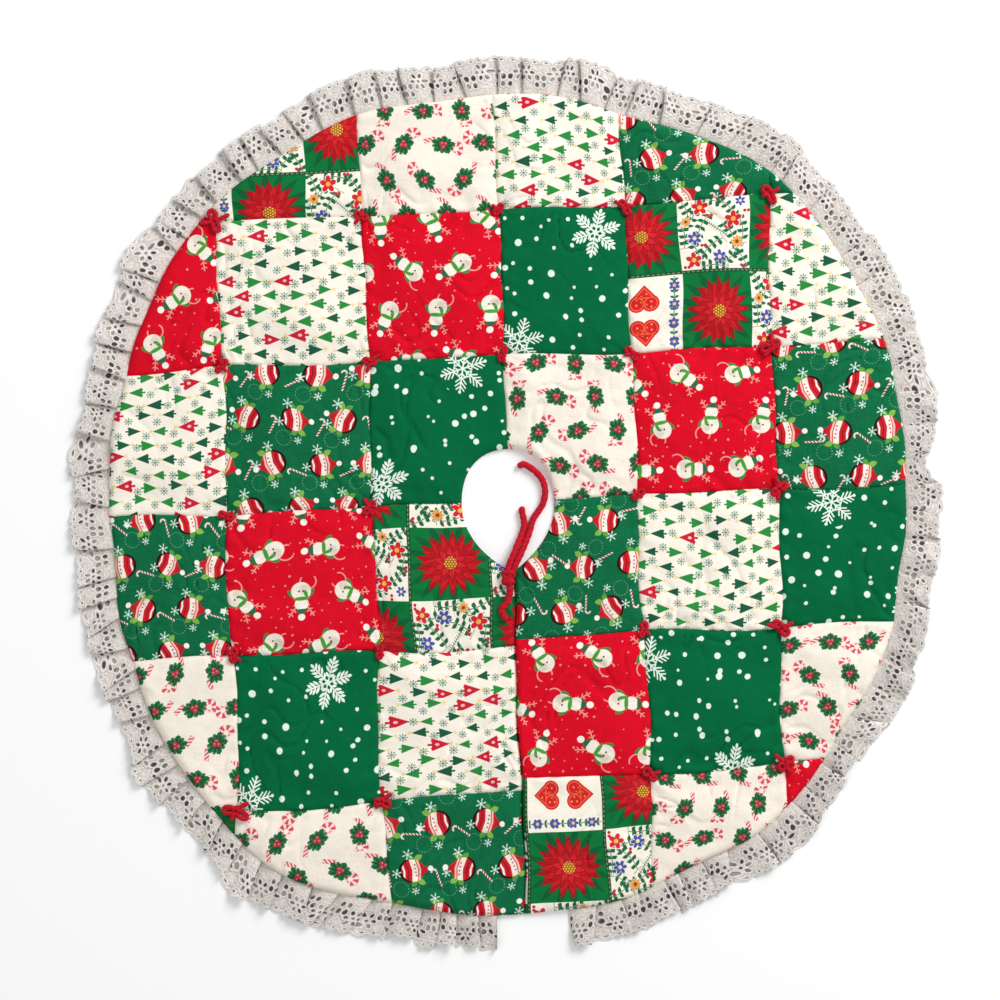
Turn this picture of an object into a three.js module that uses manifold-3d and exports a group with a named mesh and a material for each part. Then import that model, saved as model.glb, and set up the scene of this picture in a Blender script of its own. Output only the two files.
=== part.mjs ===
// Round patchwork tree skirt with a gathered lace edge. Millimetres, +Z up.
// The origin is the middle of the underside, the slit runs towards -Y.
import * as THREE from "three";
import { mergeVertices } from "three/addons/utils/BufferGeometryUtils.js";
import Module from "manifold-3d";

const wasm = await Module();
wasm.setup();

// ---------------------------------------------------------------- driving dimensions
const discRadius = 435; // mean radius of the quilted disc
const discOval = 5.3; // how much longer the disc is along Y than along X
const discSquare = 7.4; // how far the corners stand out past the sides
const discStep = 2.5; // degrees between outline points

const holeHalfWidth = 49;
const holeTop = 59; // from the middle to the back of the trunk hole
const holeTip = 71; // from the middle to the point where the slit starts
const slitX = 2;
const slitWidth = 3.5;

const liningThickness = 0.8;
const battingThickness = 6.9;
const patchThickness = 0.7;
const layerGap = 0.3; // clearance between one layer and the next
const seamGap = 0.3; // clearance between neighbouring patches

const laceWidth = 40; // from the disc's edge to the tips of the scallops
const laceThickness = 4;
const laceGap = 0.3;
const scallopCount = 100;
const scallopDepth = 2.5;
const laceEndLeft = 30; // bare edge left of the slit
const laceEndRight = 44; // bare edge right of the slit

// Seams between the patches: the columns from left to right, the rows from back to front.
const columnSeams = [-296, -142, slitX, 137.5, 287];
const backRowSeams = [312, 157, 4];
const leftRowSeams = [-148, -304];
const rightRowSeams = [-142, -291];

// The front corners turn back about two lines that start where the ties are sewn on.
const foldStart = 148; // from the middle to the point where both fold lines start
const foldAngle = 38; // degrees between a fold line and the slit
const foldGap = 0.4;
const foldTongue = 34; // how far round that point the cloth stays down when a corner turns back

const cordDiameter = 6;
const cordSides = 8;
const cordFloor = 0.2; // clearance of a lying cord over the floor
const knotSize = [8, 10.5, 4.6]; // half sizes of the knot
const knotPlace = [-2.6, -76.2];

const trim = 0.3; // clearance between the knot, the cords and the cloth

// ---------------------------------------------------------------- heights
const liningTop = liningThickness;
const battingBase = liningTop + layerGap;
const battingTop = battingBase + battingThickness;
const patchBase = battingTop + layerGap;
const patchTop = patchBase + patchThickness;
const onTop = patchTop + trim;
const reach = 2 * (discRadius + laceWidth);

// ---------------------------------------------------------------- prints
const prints = {
  trees: "#f0eadb",
  bauble: "#177048",
  red: "#c8102e",
  snow: "#00713f",
  holly: "#efe7d8",
  folk: "#8a5a3a",
};
const layout = [
  [null, "folk", "holly", "trees", "bauble", "snow"],
  ["red", "trees", "red", "snow", "folk", "trees"],
  ["trees", "bauble", "snow", "holly", "red", "bauble"],
  ["bauble", "red", "folk", "bauble", "trees", "snow"],
  ["holly", "snow", "trees", "red", "snow", "holly"],
  ["folk", "holly", "bauble", "folk", "holly", "red"],
];

const cloth = (color, roughness = 0.9) =>
  new THREE.MeshStandardMaterial({ color, roughness, metalness: 0 });
const printMaterial = Object.fromEntries(
  Object.entries(prints).map(([name, color]) => [name, cloth(color)]),
);
const liningMaterial = cloth("#f1ede4");
const battingMaterial = cloth("#fbfaf6", 1);
const laceMaterial = cloth("#e6e0da");
const yarnMaterial = cloth("#b00d22", 1);

// ---------------------------------------------------------------- solids
function solidOf(geometry) {
  const bare = geometry.clone();
  bare.deleteAttribute("normal");
  bare.deleteAttribute("uv");
  const merged = mergeVertices(bare, 1e-4);
  const vertProperties = new Float32Array(merged.attributes.position.array);
  const triVerts = new Uint32Array(merged.index.array);
  return new wasm.Manifold(new wasm.Mesh({ numProp: 3, vertProperties, triVerts }));
}

function meshOf(name, solid, material) {
  const { vertProperties, triVerts } = solid.getMesh();
  const geometry = new THREE.BufferGeometry();
  geometry.setAttribute("position", new THREE.BufferAttribute(vertProperties, 3));
  geometry.setIndex(new THREE.BufferAttribute(triVerts, 1));
  geometry.computeVertexNormals();
  const mesh = new THREE.Mesh(geometry, material);
  mesh.name = name;
  return mesh;
}

// A flat shape as a slab between two heights.
function slab(shape, low, high) {
  const geometry = new THREE.ExtrudeGeometry(shape, {
    depth: high - low,
    bevelEnabled: false,
    curveSegments: 8,
  });
  geometry.translate(0, 0, low);
  return solidOf(geometry);
}

function polygon(points) {
  return new THREE.Shape(points.map(([x, y]) => new THREE.Vector2(x, y)));
}

function rectangle(x0, x1, y0, y1) {
  return polygon([
    [x0, y0],
    [x1, y0],
    [x1, y1],
    [x0, y1],
  ]);
}

// ---------------------------------------------------------------- outlines
const radians = THREE.MathUtils.degToRad;

// The disc is slightly longer than wide, and its four diagonals stand out a little.
function discEdge(angle) {
  return discRadius - discOval * Math.cos(2 * angle) - discSquare * Math.cos(4 * angle);
}

function ring(radiusAt, stepDegrees) {
  const points = [];
  for (let turn = 0; turn < 360; turn += stepDegrees) {
    const angle = radians(turn);
    points.push([radiusAt(angle) * Math.cos(angle), radiusAt(angle) * Math.sin(angle)]);
  }
  return polygon(points);
}

const scallop = (angle) => scallopDepth * (Math.abs(Math.sin((scallopCount * angle) / 2)) - 1);
const laceInner = (angle) => discEdge(angle) + laceGap;
const laceOuter = (angle) => discEdge(angle) + laceWidth + scallop(angle);
const scallopStep = 360 / scallopCount / 4;

// An egg-shaped hole, flat at the back and pointed towards the slit.
function holeShape() {
  const shape = new THREE.Shape();
  const shoulder = 0.62;
  shape.moveTo(slitX, -holeTip);
  shape.bezierCurveTo(holeHalfWidth * 0.45, -holeTip * 0.82, holeHalfWidth, -holeTip * 0.45, holeHalfWidth, 0);
  shape.bezierCurveTo(holeHalfWidth, holeTop * shoulder, holeHalfWidth * shoulder, holeTop, 0, holeTop);
  shape.bezierCurveTo(
    -holeHalfWidth * shoulder, holeTop, -holeHalfWidth, holeTop * shoulder, -holeHalfWidth, 0,
  );
  shape.bezierCurveTo(
    -holeHalfWidth, -holeTip * 0.45, -holeHalfWidth * 0.45, -holeTip * 0.82, slitX, -holeTip,
  );
  return shape;
}

// The wedge between the slit and a fold line, on the side where x has this sign, moved out by grow.
function wedgeShape(side, grow) {
  const fold = radians(foldAngle);
  const along = [side * Math.sin(fold), -Math.cos(fold)];
  const out = [side * Math.cos(fold) * grow, Math.sin(fold) * grow];
  const apex = [slitX, -foldStart + grow / Math.sin(fold)];
  const far = [slitX + out[0] + along[0] * reach, -foldStart + out[1] + along[1] * reach];
  const points = [apex, far, [slitX, -foldStart - reach]];
  return polygon(side < 0 ? points : points.reverse());
}

// ---------------------------------------------------------------- zones
const tall = [-1, patchTop + 20];

// The round patch of cloth that stays down at the point where the fold lines start.
function tongue(radius) {
  return slab(ring(() => radius, 10), ...tall).translate(slitX, -foldStart, 0);
}

const wedges = {
  left: slab(wedgeShape(-1, 0), ...tall).subtract(tongue(foldTongue + foldGap)),
  right: slab(wedgeShape(1, 0), ...tall).subtract(tongue(foldTongue + foldGap)),
};
const bothSides = slab(wedgeShape(-1, foldGap), ...tall)
  .add(slab(wedgeShape(1, foldGap), ...tall))
  .subtract(tongue(foldTongue));
const cuts = slab(holeShape(), ...tall).add(
  slab(rectangle(slitX - slitWidth / 2, slitX + slitWidth / 2, -reach, -holeTip + 5), ...tall),
);

// Splits one layer's solid into the part that stays and the two parts that turn back.
function split(solid) {
  return {
    main: solid.subtract(bothSides),
    left: solid.intersect(wedges.left),
    right: solid.intersect(wedges.right),
  };
}

const nameOf = { main: (name) => name, left: (name) => `${name}_left_flap`, right: (name) => `${name}_right_flap` };
const smallest = 60; // a cut-off smaller than this many cubic millimetres is no piece

function addLayer(group, name, solid, material) {
  for (const [zone, part] of Object.entries(split(solid))) {
    if (part.volume() > smallest) group.add(meshOf(nameOf[zone](name), part, material));
  }
}

// ---------------------------------------------------------------- lining and batting
const disc = (low, high) => slab(ring(discEdge, discStep), low, high).subtract(cuts);

function addLining(group) {
  addLayer(group, "lining", disc(0, liningTop), liningMaterial);
  addLayer(group, "batting", disc(battingBase, battingTop), battingMaterial);
}

// ---------------------------------------------------------------- patchwork top
function rowEdges(column) {
  const front = column < 3 ? leftRowSeams : rightRowSeams;
  return [reach, ...backRowSeams, ...front, -reach];
}

function patchShape(row, column) {
  const columns = [-reach, ...columnSeams, reach];
  const rows = rowEdges(column);
  const half = seamGap / 2;
  const joinsRowBehind = row > 0 && !layout[row - 1][column];
  const back = rows[joinsRowBehind ? row - 1 : row];
  return rectangle(columns[column] + half, columns[column + 1] - half, rows[row + 1] + half, back - half);
}

function addPatches(group) {
  const top = disc(patchBase, patchTop);
  layout.forEach((line, row) =>
    line.forEach((print, column) => {
      if (!print) return;
      const name = `patch_${"abcdef"[row]}${column + 1}_${print}`;
      const solid = slab(patchShape(row, column), ...tall).intersect(top);
      addLayer(group, name, solid, printMaterial[print]);
    }),
  );
}

// ---------------------------------------------------------------- lace ruffle
function addLace(group) {
  const bare = slab(rectangle(slitX - laceEndLeft, slitX + laceEndRight, -reach, 0), ...tall);
  const band = slab(ring(laceOuter, scallopStep), 0, laceThickness)
    .subtract(slab(ring(laceInner, discStep), ...tall))
    .subtract(bare);
  addLayer(group, "lace", band, laceMaterial);
}

// ---------------------------------------------------------------- closure ties
const lying = cordFloor + cordDiameter / 2;
const riding = onTop + cordDiameter / 2;

// The long end curves round inside the trunk hole, then climbs over the hole's tip to the knot.
const longCord = [
  [11.7, 39.7, lying],
  [18.7, 42.2, lying],
  [29.2, 35.2, lying],
  [36.3, 26.8, lying],
  [39.3, 18.6, lying],
  [39.6, 9.8, lying],
  [36.8, -0.3, lying],
  [31.6, -8.1, lying],
  [27.2, -13.9, lying],
  [24.6, -19.2, lying],
  [22.4, -26.5, lying + 0.5],
  [18.6, -36.2, lying + 2],
  [15.0, -44.2, lying + 5],
  [10.4, -53.8, riding - 1],
  [6.2, -61.4, riding],
  [1.6, -72.1, riding],
];
// The short end lies beside it.
const shortCord = [
  [14.7, -2.0, lying],
  [14.5, -8.0, lying],
  [16.0, -16.3, lying],
  [15.8, -24.0, lying + 0.5],
  [12.4, -33.2, lying + 2],
  [8.6, -41.4, lying + 5],
  [4.2, -51.3, riding - 1],
  [-0.2, -60.0, riding],
  [-4.6, -72.0, riding],
];
// Below the knot the yarn bows out to the left and is sewn down beside the slit.
const sewnCord = [
  [-2.6, -78.0, riding],
  [-1.6, -88.7, riding],
  [-2.4, -94.4, riding],
  [-5.3, -102.5, riding],
  [-11.1, -108.8, riding],
  [-9.9, -115.6, riding],
  [-5.6, -122.0, riding],
];

function tube(points) {
  const path = new THREE.CatmullRomCurve3(points.map((point) => new THREE.Vector3(...point)));
  const section = new THREE.Shape();
  for (let side = 0; side < cordSides; side++) {
    const angle = ((side + 0.5) / cordSides) * 2 * Math.PI;
    const radius = cordDiameter / 2;
    const corner = [radius * Math.cos(angle), radius * Math.sin(angle)];
    if (side) section.lineTo(...corner);
    else section.moveTo(...corner);
  }
  section.closePath();
  const steps = Math.round(path.getLength() / (cordDiameter * 1.2));
  return solidOf(
    new THREE.ExtrudeGeometry(section, { steps, extrudePath: path, bevelEnabled: false }),
  );
}

function knot(grow) {
  const geometry = new THREE.SphereGeometry(1, 16, 12);
  geometry.rotateX(Math.PI / 2);
  geometry.scale(...knotSize.map((half) => half + grow));
  geometry.translate(...knotPlace, onTop + knotSize[2]);
  return solidOf(geometry);
}

function addTies(group) {
  const cleared = knot(trim);
  group.add(meshOf("closure_knot", knot(0), yarnMaterial));
  group.add(meshOf("tie_cord_long", tube(longCord).subtract(cleared), yarnMaterial));
  group.add(meshOf("tie_cord_short", tube(shortCord).subtract(cleared), yarnMaterial));
  group.add(meshOf("tie_cord_sewn", tube(sewnCord).subtract(cleared), yarnMaterial));
}

// ---------------------------------------------------------------- assembly
const skirt = new THREE.Group();
addLining(skirt);
addPatches(skirt);
addLace(skirt);
addTies(skirt);

export default skirt;
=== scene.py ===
"""Round tied patchwork tree skirt with a gathered eyelet lace edge, laid flat and seen from above."""
import logging
from dataclasses import dataclass
from enum import Enum
from typing import Any, Callable, Iterable, Sequence

import bpy
import numpy as np
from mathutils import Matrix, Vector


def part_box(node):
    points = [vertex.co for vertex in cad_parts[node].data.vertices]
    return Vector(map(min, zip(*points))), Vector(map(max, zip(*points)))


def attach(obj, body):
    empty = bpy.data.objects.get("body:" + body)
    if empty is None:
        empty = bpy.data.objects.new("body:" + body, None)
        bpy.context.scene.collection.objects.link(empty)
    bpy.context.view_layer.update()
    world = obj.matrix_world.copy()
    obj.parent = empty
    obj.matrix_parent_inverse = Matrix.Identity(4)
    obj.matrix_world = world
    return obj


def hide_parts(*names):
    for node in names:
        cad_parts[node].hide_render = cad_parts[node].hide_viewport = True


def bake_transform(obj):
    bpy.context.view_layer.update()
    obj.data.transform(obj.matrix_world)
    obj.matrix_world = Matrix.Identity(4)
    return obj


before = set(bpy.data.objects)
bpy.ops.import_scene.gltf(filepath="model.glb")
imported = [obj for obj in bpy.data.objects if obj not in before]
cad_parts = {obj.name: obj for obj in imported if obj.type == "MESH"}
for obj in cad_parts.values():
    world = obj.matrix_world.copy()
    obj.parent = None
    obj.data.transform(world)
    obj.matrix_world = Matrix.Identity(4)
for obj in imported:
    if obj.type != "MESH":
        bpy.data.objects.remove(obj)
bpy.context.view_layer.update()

LOG = logging.getLogger("tree_skirt")
MM = 0.001
Array = np.ndarray

# ------------------------------------------------------------------ driving sizes, in metres
SLIT_X = 2 * MM
SLIT_HALF = 0.8 * MM
SLIT_EDGE = 1.3 * MM
HOLE_HALF_WIDTH = 49 * MM
HOLE_TOP = 59 * MM
HOLE_TIP = 71 * MM
DISC_OVAL = 5.3 * MM
DISC_SQUARE = 7.4 * MM
FOLD_POINT = np.array([SLIT_X, -148 * MM])
FOLD_ANGLE = np.radians(38)
FOLD_MARGIN = 18 * MM
SEAM_HEIGHT = 5.0 * MM
LACE_WIDTH = 40 * MM


class Print(Enum):
    """The six printed cottons."""

    TREES = "trees"
    BAUBLES = "bauble"
    FIGURES = "red"
    SNOW = "snow"
    HOLLY = "holly"
    FOLK = "folk"


# Where a print's repeat falls on a patch (x, y in millimetres) and how far it is turned (degrees).
PRINT_PLACES = {
    "a2": (-238.5, 318.0, 90), "b5": (227.8, 194.0, 90), "d3": (18.7, 16.2, 0), "f4": (47.4, -384.3, 0),
    "f1": (-330.0, -340.0, 0), "b4": (106.2, 284.6, 0), "c3": (-129.1, 28.7, 0), "d6": (429.6, 107.0, 0),
    "e2": (-194.9, -179.3, 0), "e5": (228.3, -290.2, 0), "a6": (230.0, 290.0, 0),
}

# Ties: the column and row seams that cross there, then how large the knot is.
TIE_SIZES = {
    (0, 0): 1.2, (1, 0): 0.8, (2, 0): 0.7, (3, 0): 0.9, (4, 0): 1.1,
    (0, 1): 0.8, (1, 1): 0.9, (2, 1): 0.8, (3, 1): 0.8, (4, 1): 1.1,
    (0, 2): 0.8, (1, 2): 0.9, (3, 2): 0.8, (4, 2): 1.2,
    (0, 3): 0.9, (1, 3): 0.8, (3, 3): 0.8, (4, 3): 1.2,
    (0, 4): 1.3, (1, 4): 1.0, (3, 4): 1.0, (4, 4): 1.1,
}


# ------------------------------------------------------------------ smooth random fields
def waves(x: Array, y: Array, length: float, seed: int, count: int = 7) -> Array:
    """A smooth random field of about unit size.

    It is a sum of plane waves whose directions, phases and lengths near the given one come from a seed.

    Args:
        x: Positions along X.
        y: Positions along Y.
        length: The typical wave length in metres.
        seed: Chooses the waves.
        count: How many waves are added.

    Returns:
        The field at each position.
    """
    rng = np.random.default_rng(seed)
    total = np.zeros_like(x, dtype=float)
    for _ in range(count):
        turn, phase, stretch = rng.uniform(0, 2 * np.pi), rng.uniform(0, 2 * np.pi), rng.uniform(0.6, 1.6)
        k = 2 * np.pi / (length * stretch)
        total += np.sin(k * (x * np.cos(turn) + y * np.sin(turn)) + phase)
    return total / np.sqrt(count / 2)


def ease(value: Array) -> Array:
    """The smooth step of a value clipped to 0 and 1."""
    t = np.clip(value, 0, 1)
    return t * t * (3 - 2 * t)


def rounded(value: Array) -> Array:
    """A quarter circle: 0 at 0, 1 from 1 on, steep at the start."""
    t = np.clip(value, 0, 1)
    return np.sqrt(np.maximum(1 - (1 - t) ** 2, 0))


# ------------------------------------------------------------------ the flat outline
@dataclass(frozen=True)
class Outline:
    """The cut shape of the quilt: rim, trunk hole and slit.

    Attributes:
        radius: The rim's mean radius.
    """

    radius: float

    def rim(self, angle: Array) -> Array:
        """The rim's radius: the mean, less an oval term in twice the angle and a square one in four times it."""
        return self.radius - DISC_OVAL * np.cos(2 * angle) - DISC_SQUARE * np.cos(4 * angle)

    @staticmethod
    def hole() -> Array:
        """The hole's corners: four cubic curves from the tip round to the tip.

        Returns:
            Points on the outline, anticlockwise.
        """
        w, top, tip, shoulder = HOLE_HALF_WIDTH, HOLE_TOP, HOLE_TIP, 0.62
        curves = [
            [(SLIT_X, -tip), (w * 0.45, -tip * 0.82), (w, -tip * 0.45), (w, 0)],
            [(w, 0), (w, top * shoulder), (w * shoulder, top), (0, top)],
            [(0, top), (-w * shoulder, top), (-w, top * shoulder), (-w, 0)],
            [(-w, 0), (-w, -tip * 0.45), (-w * 0.45, -tip * 0.82), (SLIT_X, -tip)],
        ]
        t = np.linspace(0, 1, 24, endpoint=False)[:, None]
        weights = ((1 - t) ** 3, 3 * t * (1 - t) ** 2, 3 * t**2 * (1 - t), t**3)
        return np.concatenate([sum(w_ * np.array(p) for w_, p in zip(weights, c)) for c in curves])

    def edges(self, x: Array, y: Array) -> tuple[Array, Array, Array]:
        """How far inside the cloth a point lies from each free edge, negative outside it.

        Args:
            x: Positions along X in the cut cloth.
            y: Positions along Y.

        Returns:
            The distances to the rim, to the hole's polygon and to the slit's sides.
        """
        rim = self.rim(np.arctan2(y, x)) - np.hypot(x, y)
        corners = self.hole()
        nxt = np.roll(corners, -1, axis=0)
        px, py = x[..., None], y[..., None]
        ex, ey = nxt[:, 0] - corners[:, 0], nxt[:, 1] - corners[:, 1]
        t = np.clip(((px - corners[:, 0]) * ex + (py - corners[:, 1]) * ey) / (ex**2 + ey**2), 0, 1)
        gap = np.hypot(px - corners[:, 0] - t * ex, py - corners[:, 1] - t * ey).min(axis=-1)
        over = (corners[:, 1] > py) != (nxt[:, 1] > py)
        crossing = corners[:, 0] + (py - corners[:, 1]) * ex / np.where(ey == 0, 1e-12, ey)
        within = (over & (px < crossing)).sum(axis=-1) % 2 == 1
        hole = np.where(within, -gap, gap)
        slit = np.where(y < -HOLE_TIP, np.abs(x - SLIT_X) - SLIT_HALF, np.inf)
        return rim, hole, slit

    def inside(self, x: Array, y: Array) -> Array:
        """How far inside the cloth a point lies, negative outside it: the least of its edge distances."""
        return np.minimum.reduce(self.edges(x, y))


def fold_side(x: Array, y: Array) -> tuple[Array, Array]:
    """How far a point lies past each fold line, towards the slit.

    Args:
        x: Positions along X in the cut cloth.
        y: Positions along Y.

    Returns:
        The distances past the left and the right fold line.
    """
    dx, dy = x - FOLD_POINT[0], y - FOLD_POINT[1]
    left = dx * np.cos(FOLD_ANGLE) - dy * np.sin(FOLD_ANGLE)
    right = -dx * np.cos(FOLD_ANGLE) - dy * np.sin(FOLD_ANGLE)
    return left, right


# How the laid cloth strays from the cut: direction in degrees, how far out in millimetres, spread in degrees.
BULGES = (
    (235, 17, 11), (294, -7, 10), (322, -14, 13), (346, -4, 7), (160, -3, 7), (195, 5, 6), (106, 3, 7),
    (71, -5, 6), (46, 4, 9),
)


def laid(x: Array, y: Array, outline: Outline) -> tuple[Array, Array]:
    """Where a point of the cut cloth lies on the floor.

    The rim bulges or draws in at a few places, which fades towards the middle, and the seams wander a little.

    Args:
        x: Positions along X in the cut cloth.
        y: Positions along Y.
        outline: The cut shape.

    Returns:
        The positions on the floor.
    """
    angle, reach = np.arctan2(y, x), np.hypot(x, y)
    out = np.zeros_like(reach)
    for turn, far, spread in BULGES:
        off = (np.degrees(angle) - turn + 180) % 360 - 180
        out += far * MM * np.exp(-((off / spread) ** 2))
    front = ease((-y - 0.2) / 0.15) * np.where(x < SLIT_X, 1, 0) * ease((x + 0.05) / 0.05)
    out = out * (1 - 0.5 * front) * np.clip(reach / outline.radius, 0, 1) ** 2.5
    steady = ease((reach - 0.07) / 0.06)
    wx = 1.7 * MM * waves(x, y, 0.15, 3) * steady
    wy = 1.7 * MM * waves(x, y, 0.15, 4) * steady
    grow = 1 + out / np.maximum(reach, 1e-6)
    return x * grow + wx, y * grow + wy


# ------------------------------------------------------------------ meshes
def grid_faces(rows: int, columns: int) -> Array:
    """The quads of a grid of points numbered row by row, facing up where x grows along a row and y by rows.

    Args:
        rows: Rows of points.
        columns: Points in a row.

    Returns:
        Four point numbers for each face.
    """
    i, j = np.meshgrid(np.arange(rows - 1), np.arange(columns - 1), indexing="ij")
    a = (i * columns + j).ravel()
    return np.stack([a, a + 1, a + columns + 1, a + columns], axis=1)


def mesh_piece(name: str, points: Array, quads: Array, uv: Array | None = None) -> bpy.types.Object:
    """Makes a smooth-shaded object from points and quads.

    Args:
        name: The piece's name.
        points: The vertices, in metres.
        quads: Four vertex numbers for each face; a triangle repeats its last one.
        uv: One coordinate pair for each vertex, kept in a map named Print.

    Returns:
        The object, at the origin.
    """
    mesh = bpy.data.meshes.new(name)
    three = quads[:, 2] == quads[:, 3]
    faces = quads[~three].tolist() + quads[three][:, :3].tolist()
    mesh.from_pydata(points.astype(float).tolist(), [], faces)
    mesh.polygons.foreach_set("use_smooth", np.ones(len(mesh.polygons), bool))
    if uv is not None:
        layer = mesh.uv_layers.new(name="Print")
        loops = np.empty(len(mesh.loops), np.int32)
        mesh.loops.foreach_get("vertex_index", loops)
        layer.data.foreach_set("uv", uv[loops].astype(np.float32).ravel())
    mesh.update()
    mesh.set_sharp_from_angle(angle=np.radians(62))
    obj = bpy.data.objects.new(name, mesh)
    bpy.context.scene.collection.objects.link(obj)
    return obj


def border(quads: Array) -> Array:
    """The directed edges that only one face has, in that face's direction.

    Args:
        quads: The faces.

    Returns:
        Pairs of point numbers.
    """
    edges = np.concatenate([quads[:, [k, (k + 1) % 4]] for k in range(4)])
    edges = edges[edges[:, 0] != edges[:, 1]]
    size = quads.max() + 1
    code, back = edges[:, 0] * size + edges[:, 1], edges[:, 1] * size + edges[:, 0]
    return edges[~np.isin(code, back)]


def flipped(quads: Array) -> Array:
    """The faces turned over, with a triangle's repeated number kept last."""
    three = quads[:, 2] == quads[:, 3]
    return np.where(three[:, None], quads[:, [2, 1, 0, 0]], quads[:, ::-1])


def closed_sheet(name: str, upper: Array, lower: Array, quads: Array, uv: Array) -> bpy.types.Object:
    """A closed piece of cloth: two surfaces over the same grid, joined by walls along the grid's border.

    Args:
        name: The piece's name.
        upper: The upper surface's points.
        lower: The lower surface's points, in the same order.
        quads: The grid's faces, facing up.
        uv: The cloth's own coordinates of each point.

    Returns:
        The piece.
    """
    used, faces = np.unique(quads, return_inverse=True)
    faces = faces.reshape(quads.shape)
    n, edge = len(used), border(faces)
    walls = np.stack([edge[:, 0], edge[:, 0] + n, edge[:, 1] + n, edge[:, 1]], axis=1)
    every = np.concatenate([faces, flipped(faces) + n, walls])
    return mesh_piece(name, np.concatenate([upper[used], lower[used]]), every, np.concatenate([uv[used]] * 2))


# ------------------------------------------------------------------ the quilt's surface
@dataclass
class Quilt:
    """The quilted disc: its seams, its ties and the height of its surface everywhere.

    Attributes:
        full_height: The surface's height in the middle of a patch.
        rim_height: Its height at the free edges.
        edge_roll: How far from a free edge it falls away.
        seam_roll: How far from a seam the steep part of the puff reaches.
        crown_reach: How far from a seam the slow part reaches.
        pucker: The height of the puckers across the seams.
        swell: The height of the wide swells in a patch.
        crease: The depth of the long soft folds.
        crumple: The height of the small unevenness.
        tie_dip: How far a tie pulls the cloth down.
        tie_rays: The height of the folds that run out from a tie.
    """

    full_height: float = 9.8 * MM
    rim_height: float = 2.2 * MM
    edge_roll: float = 9 * MM
    seam_roll: float = 7 * MM
    crown_reach: float = 44 * MM
    pucker: float = 0.6 * MM
    swell: float = 1.1 * MM
    crease: float = 2.0 * MM
    crumple: float = 0.11 * MM
    tie_dip: float = 1.9 * MM
    tie_rays: float = 0.42 * MM

    def __post_init__(self) -> None:
        """Reads the rim and the seams from the frame's pieces, and finds the seam crossings with ties."""
        low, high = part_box("lining")
        self.outline = Outline(radius=float((high[0] - low[0]) / 2 + DISC_OVAL + DISC_SQUARE))
        places = sorted({n.split("_")[1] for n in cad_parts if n.startswith("patch_")})
        self.cells = {place: self._cell(place) for place in places}
        columns = [self.cells[f"c{k}"][1] for k in range(1, 6)]
        back = [self.cells[place][3] for place in ("b3", "c3", "d3")]
        rows = {"left": ("e2", "f2"), "right": ("e5", "f5")}
        front = {side: [self.cells[place][3] for place in row] for side, row in rows.items()}
        self.ties = {
            (i, j): (columns[i], (back + front["left" if i < 2 else "right"])[j]) for i, j in TIE_SIZES
        }

    @staticmethod
    def nodes_of(place: str) -> list[str]:
        """The CAD nodes that one patch stands for: itself, and the part past the fold line."""
        return sorted(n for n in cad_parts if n.startswith(f"patch_{place}_"))

    def _cell(self, place: str) -> tuple[float, float, float, float]:
        """The seams round a patch: left, right, front, back. A side on the rim lies far out.

        Args:
            place: The patch's row letter and column number.

        Returns:
            The left, right, front and back seam.
        """
        boxes = [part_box(n) for n in self.nodes_of(place)]
        low = np.min([b[0] for b in boxes], axis=0)
        high = np.max([b[1] for b in boxes], axis=0)
        gap, far = 0.15 * MM, 0.6
        left = -far if place[1] == "1" else round(float(low[0]) - gap, 5)
        right = far if place[1] == "6" else round(float(high[0]) + gap, 5)
        front = -far if place[0] == "f" else round(float(low[1]) - gap, 5)
        back = far if place[0] == "a" or place == "b1" else round(float(high[1]) + gap, 5)
        if place[1] == "3":
            right = SLIT_X
        if place[1] == "4":
            left = SLIT_X
        return left, right, front, back

    def height(self, x: Array, y: Array, cell: tuple[float, float, float, float]) -> Array:
        """The top surface's height within one patch.

        It rises from the seams to the full loft on a soft curve, falls to the lining along the free edges,
        dips at each tie, and carries puckers that run away from the ties and across the seams.

        Args:
            x: Positions along X on the cut cloth.
            y: Positions along Y.
            cell: The seams round the patch: left, right, front and back.

        Returns:
            The heights.
        """
        left, right, front, back = cell
        seam_x = np.minimum(x - left, right - x)
        seam_y = np.minimum(y - front, back - y)
        seam = np.minimum(seam_x, seam_y)
        # The slit is an open edge and no seam.
        open_slit = (np.abs(x - SLIT_X) < 0.03) & (y < -HOLE_TIP + 5 * MM)
        seam = np.where(open_slit, np.minimum(seam_y, np.maximum(seam_x, 0.02)), seam)
        puff = 0.45 * rounded(seam / self.seam_roll) + 0.55 * ease(seam / self.crown_reach)
        z = SEAM_HEIGHT + (self.full_height - SEAM_HEIGHT) * puff
        along = np.where(seam_x < seam_y, y, x)
        pucker = waves(along, seam * 0.35, 0.014, 11, 6) * np.exp(-seam / (13 * MM))
        z += self.pucker * pucker * rounded(seam / (3 * MM))
        z += self.swell * waves(x, y, 0.08, 21) * ease(seam / (22 * MM))
        bend = 0.016 * waves(x, y, 0.1, 31)
        crease = waves(x + bend, y - bend, 0.085, 22, 4)
        here = ease(waves(x, y, 0.14, 24) * 0.8 + 0.35) * ease(seam / (9 * MM))
        z -= self.crease * np.exp(-((crease / 0.28) ** 2)) * here
        z += self.crumple * waves(x, y, 0.021, 23, 9)
        for number, (tx, ty) in enumerate(self.ties.values()):
            far = np.hypot(x - tx, y - ty)
            turn = np.arctan2(y - ty, x - tx)
            z -= self.tie_dip * np.exp(-((far / (11 * MM)) ** 2))
            rays = np.cos(11 * turn + 2.1 * number) + 0.6 * np.cos(7 * turn + number)
            z += self.tie_rays * rays * np.exp(-far / (26 * MM)) * ease(far / (8 * MM))
        rim, hole, slit = self.outline.edges(x, y)
        z = self.rim_height + (z - self.rim_height) * rounded(np.minimum(rim, hole) / self.edge_roll)
        return np.minimum(z, SLIT_EDGE + (z - SLIT_EDGE) * rounded(slit / (4.5 * MM)))


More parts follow.
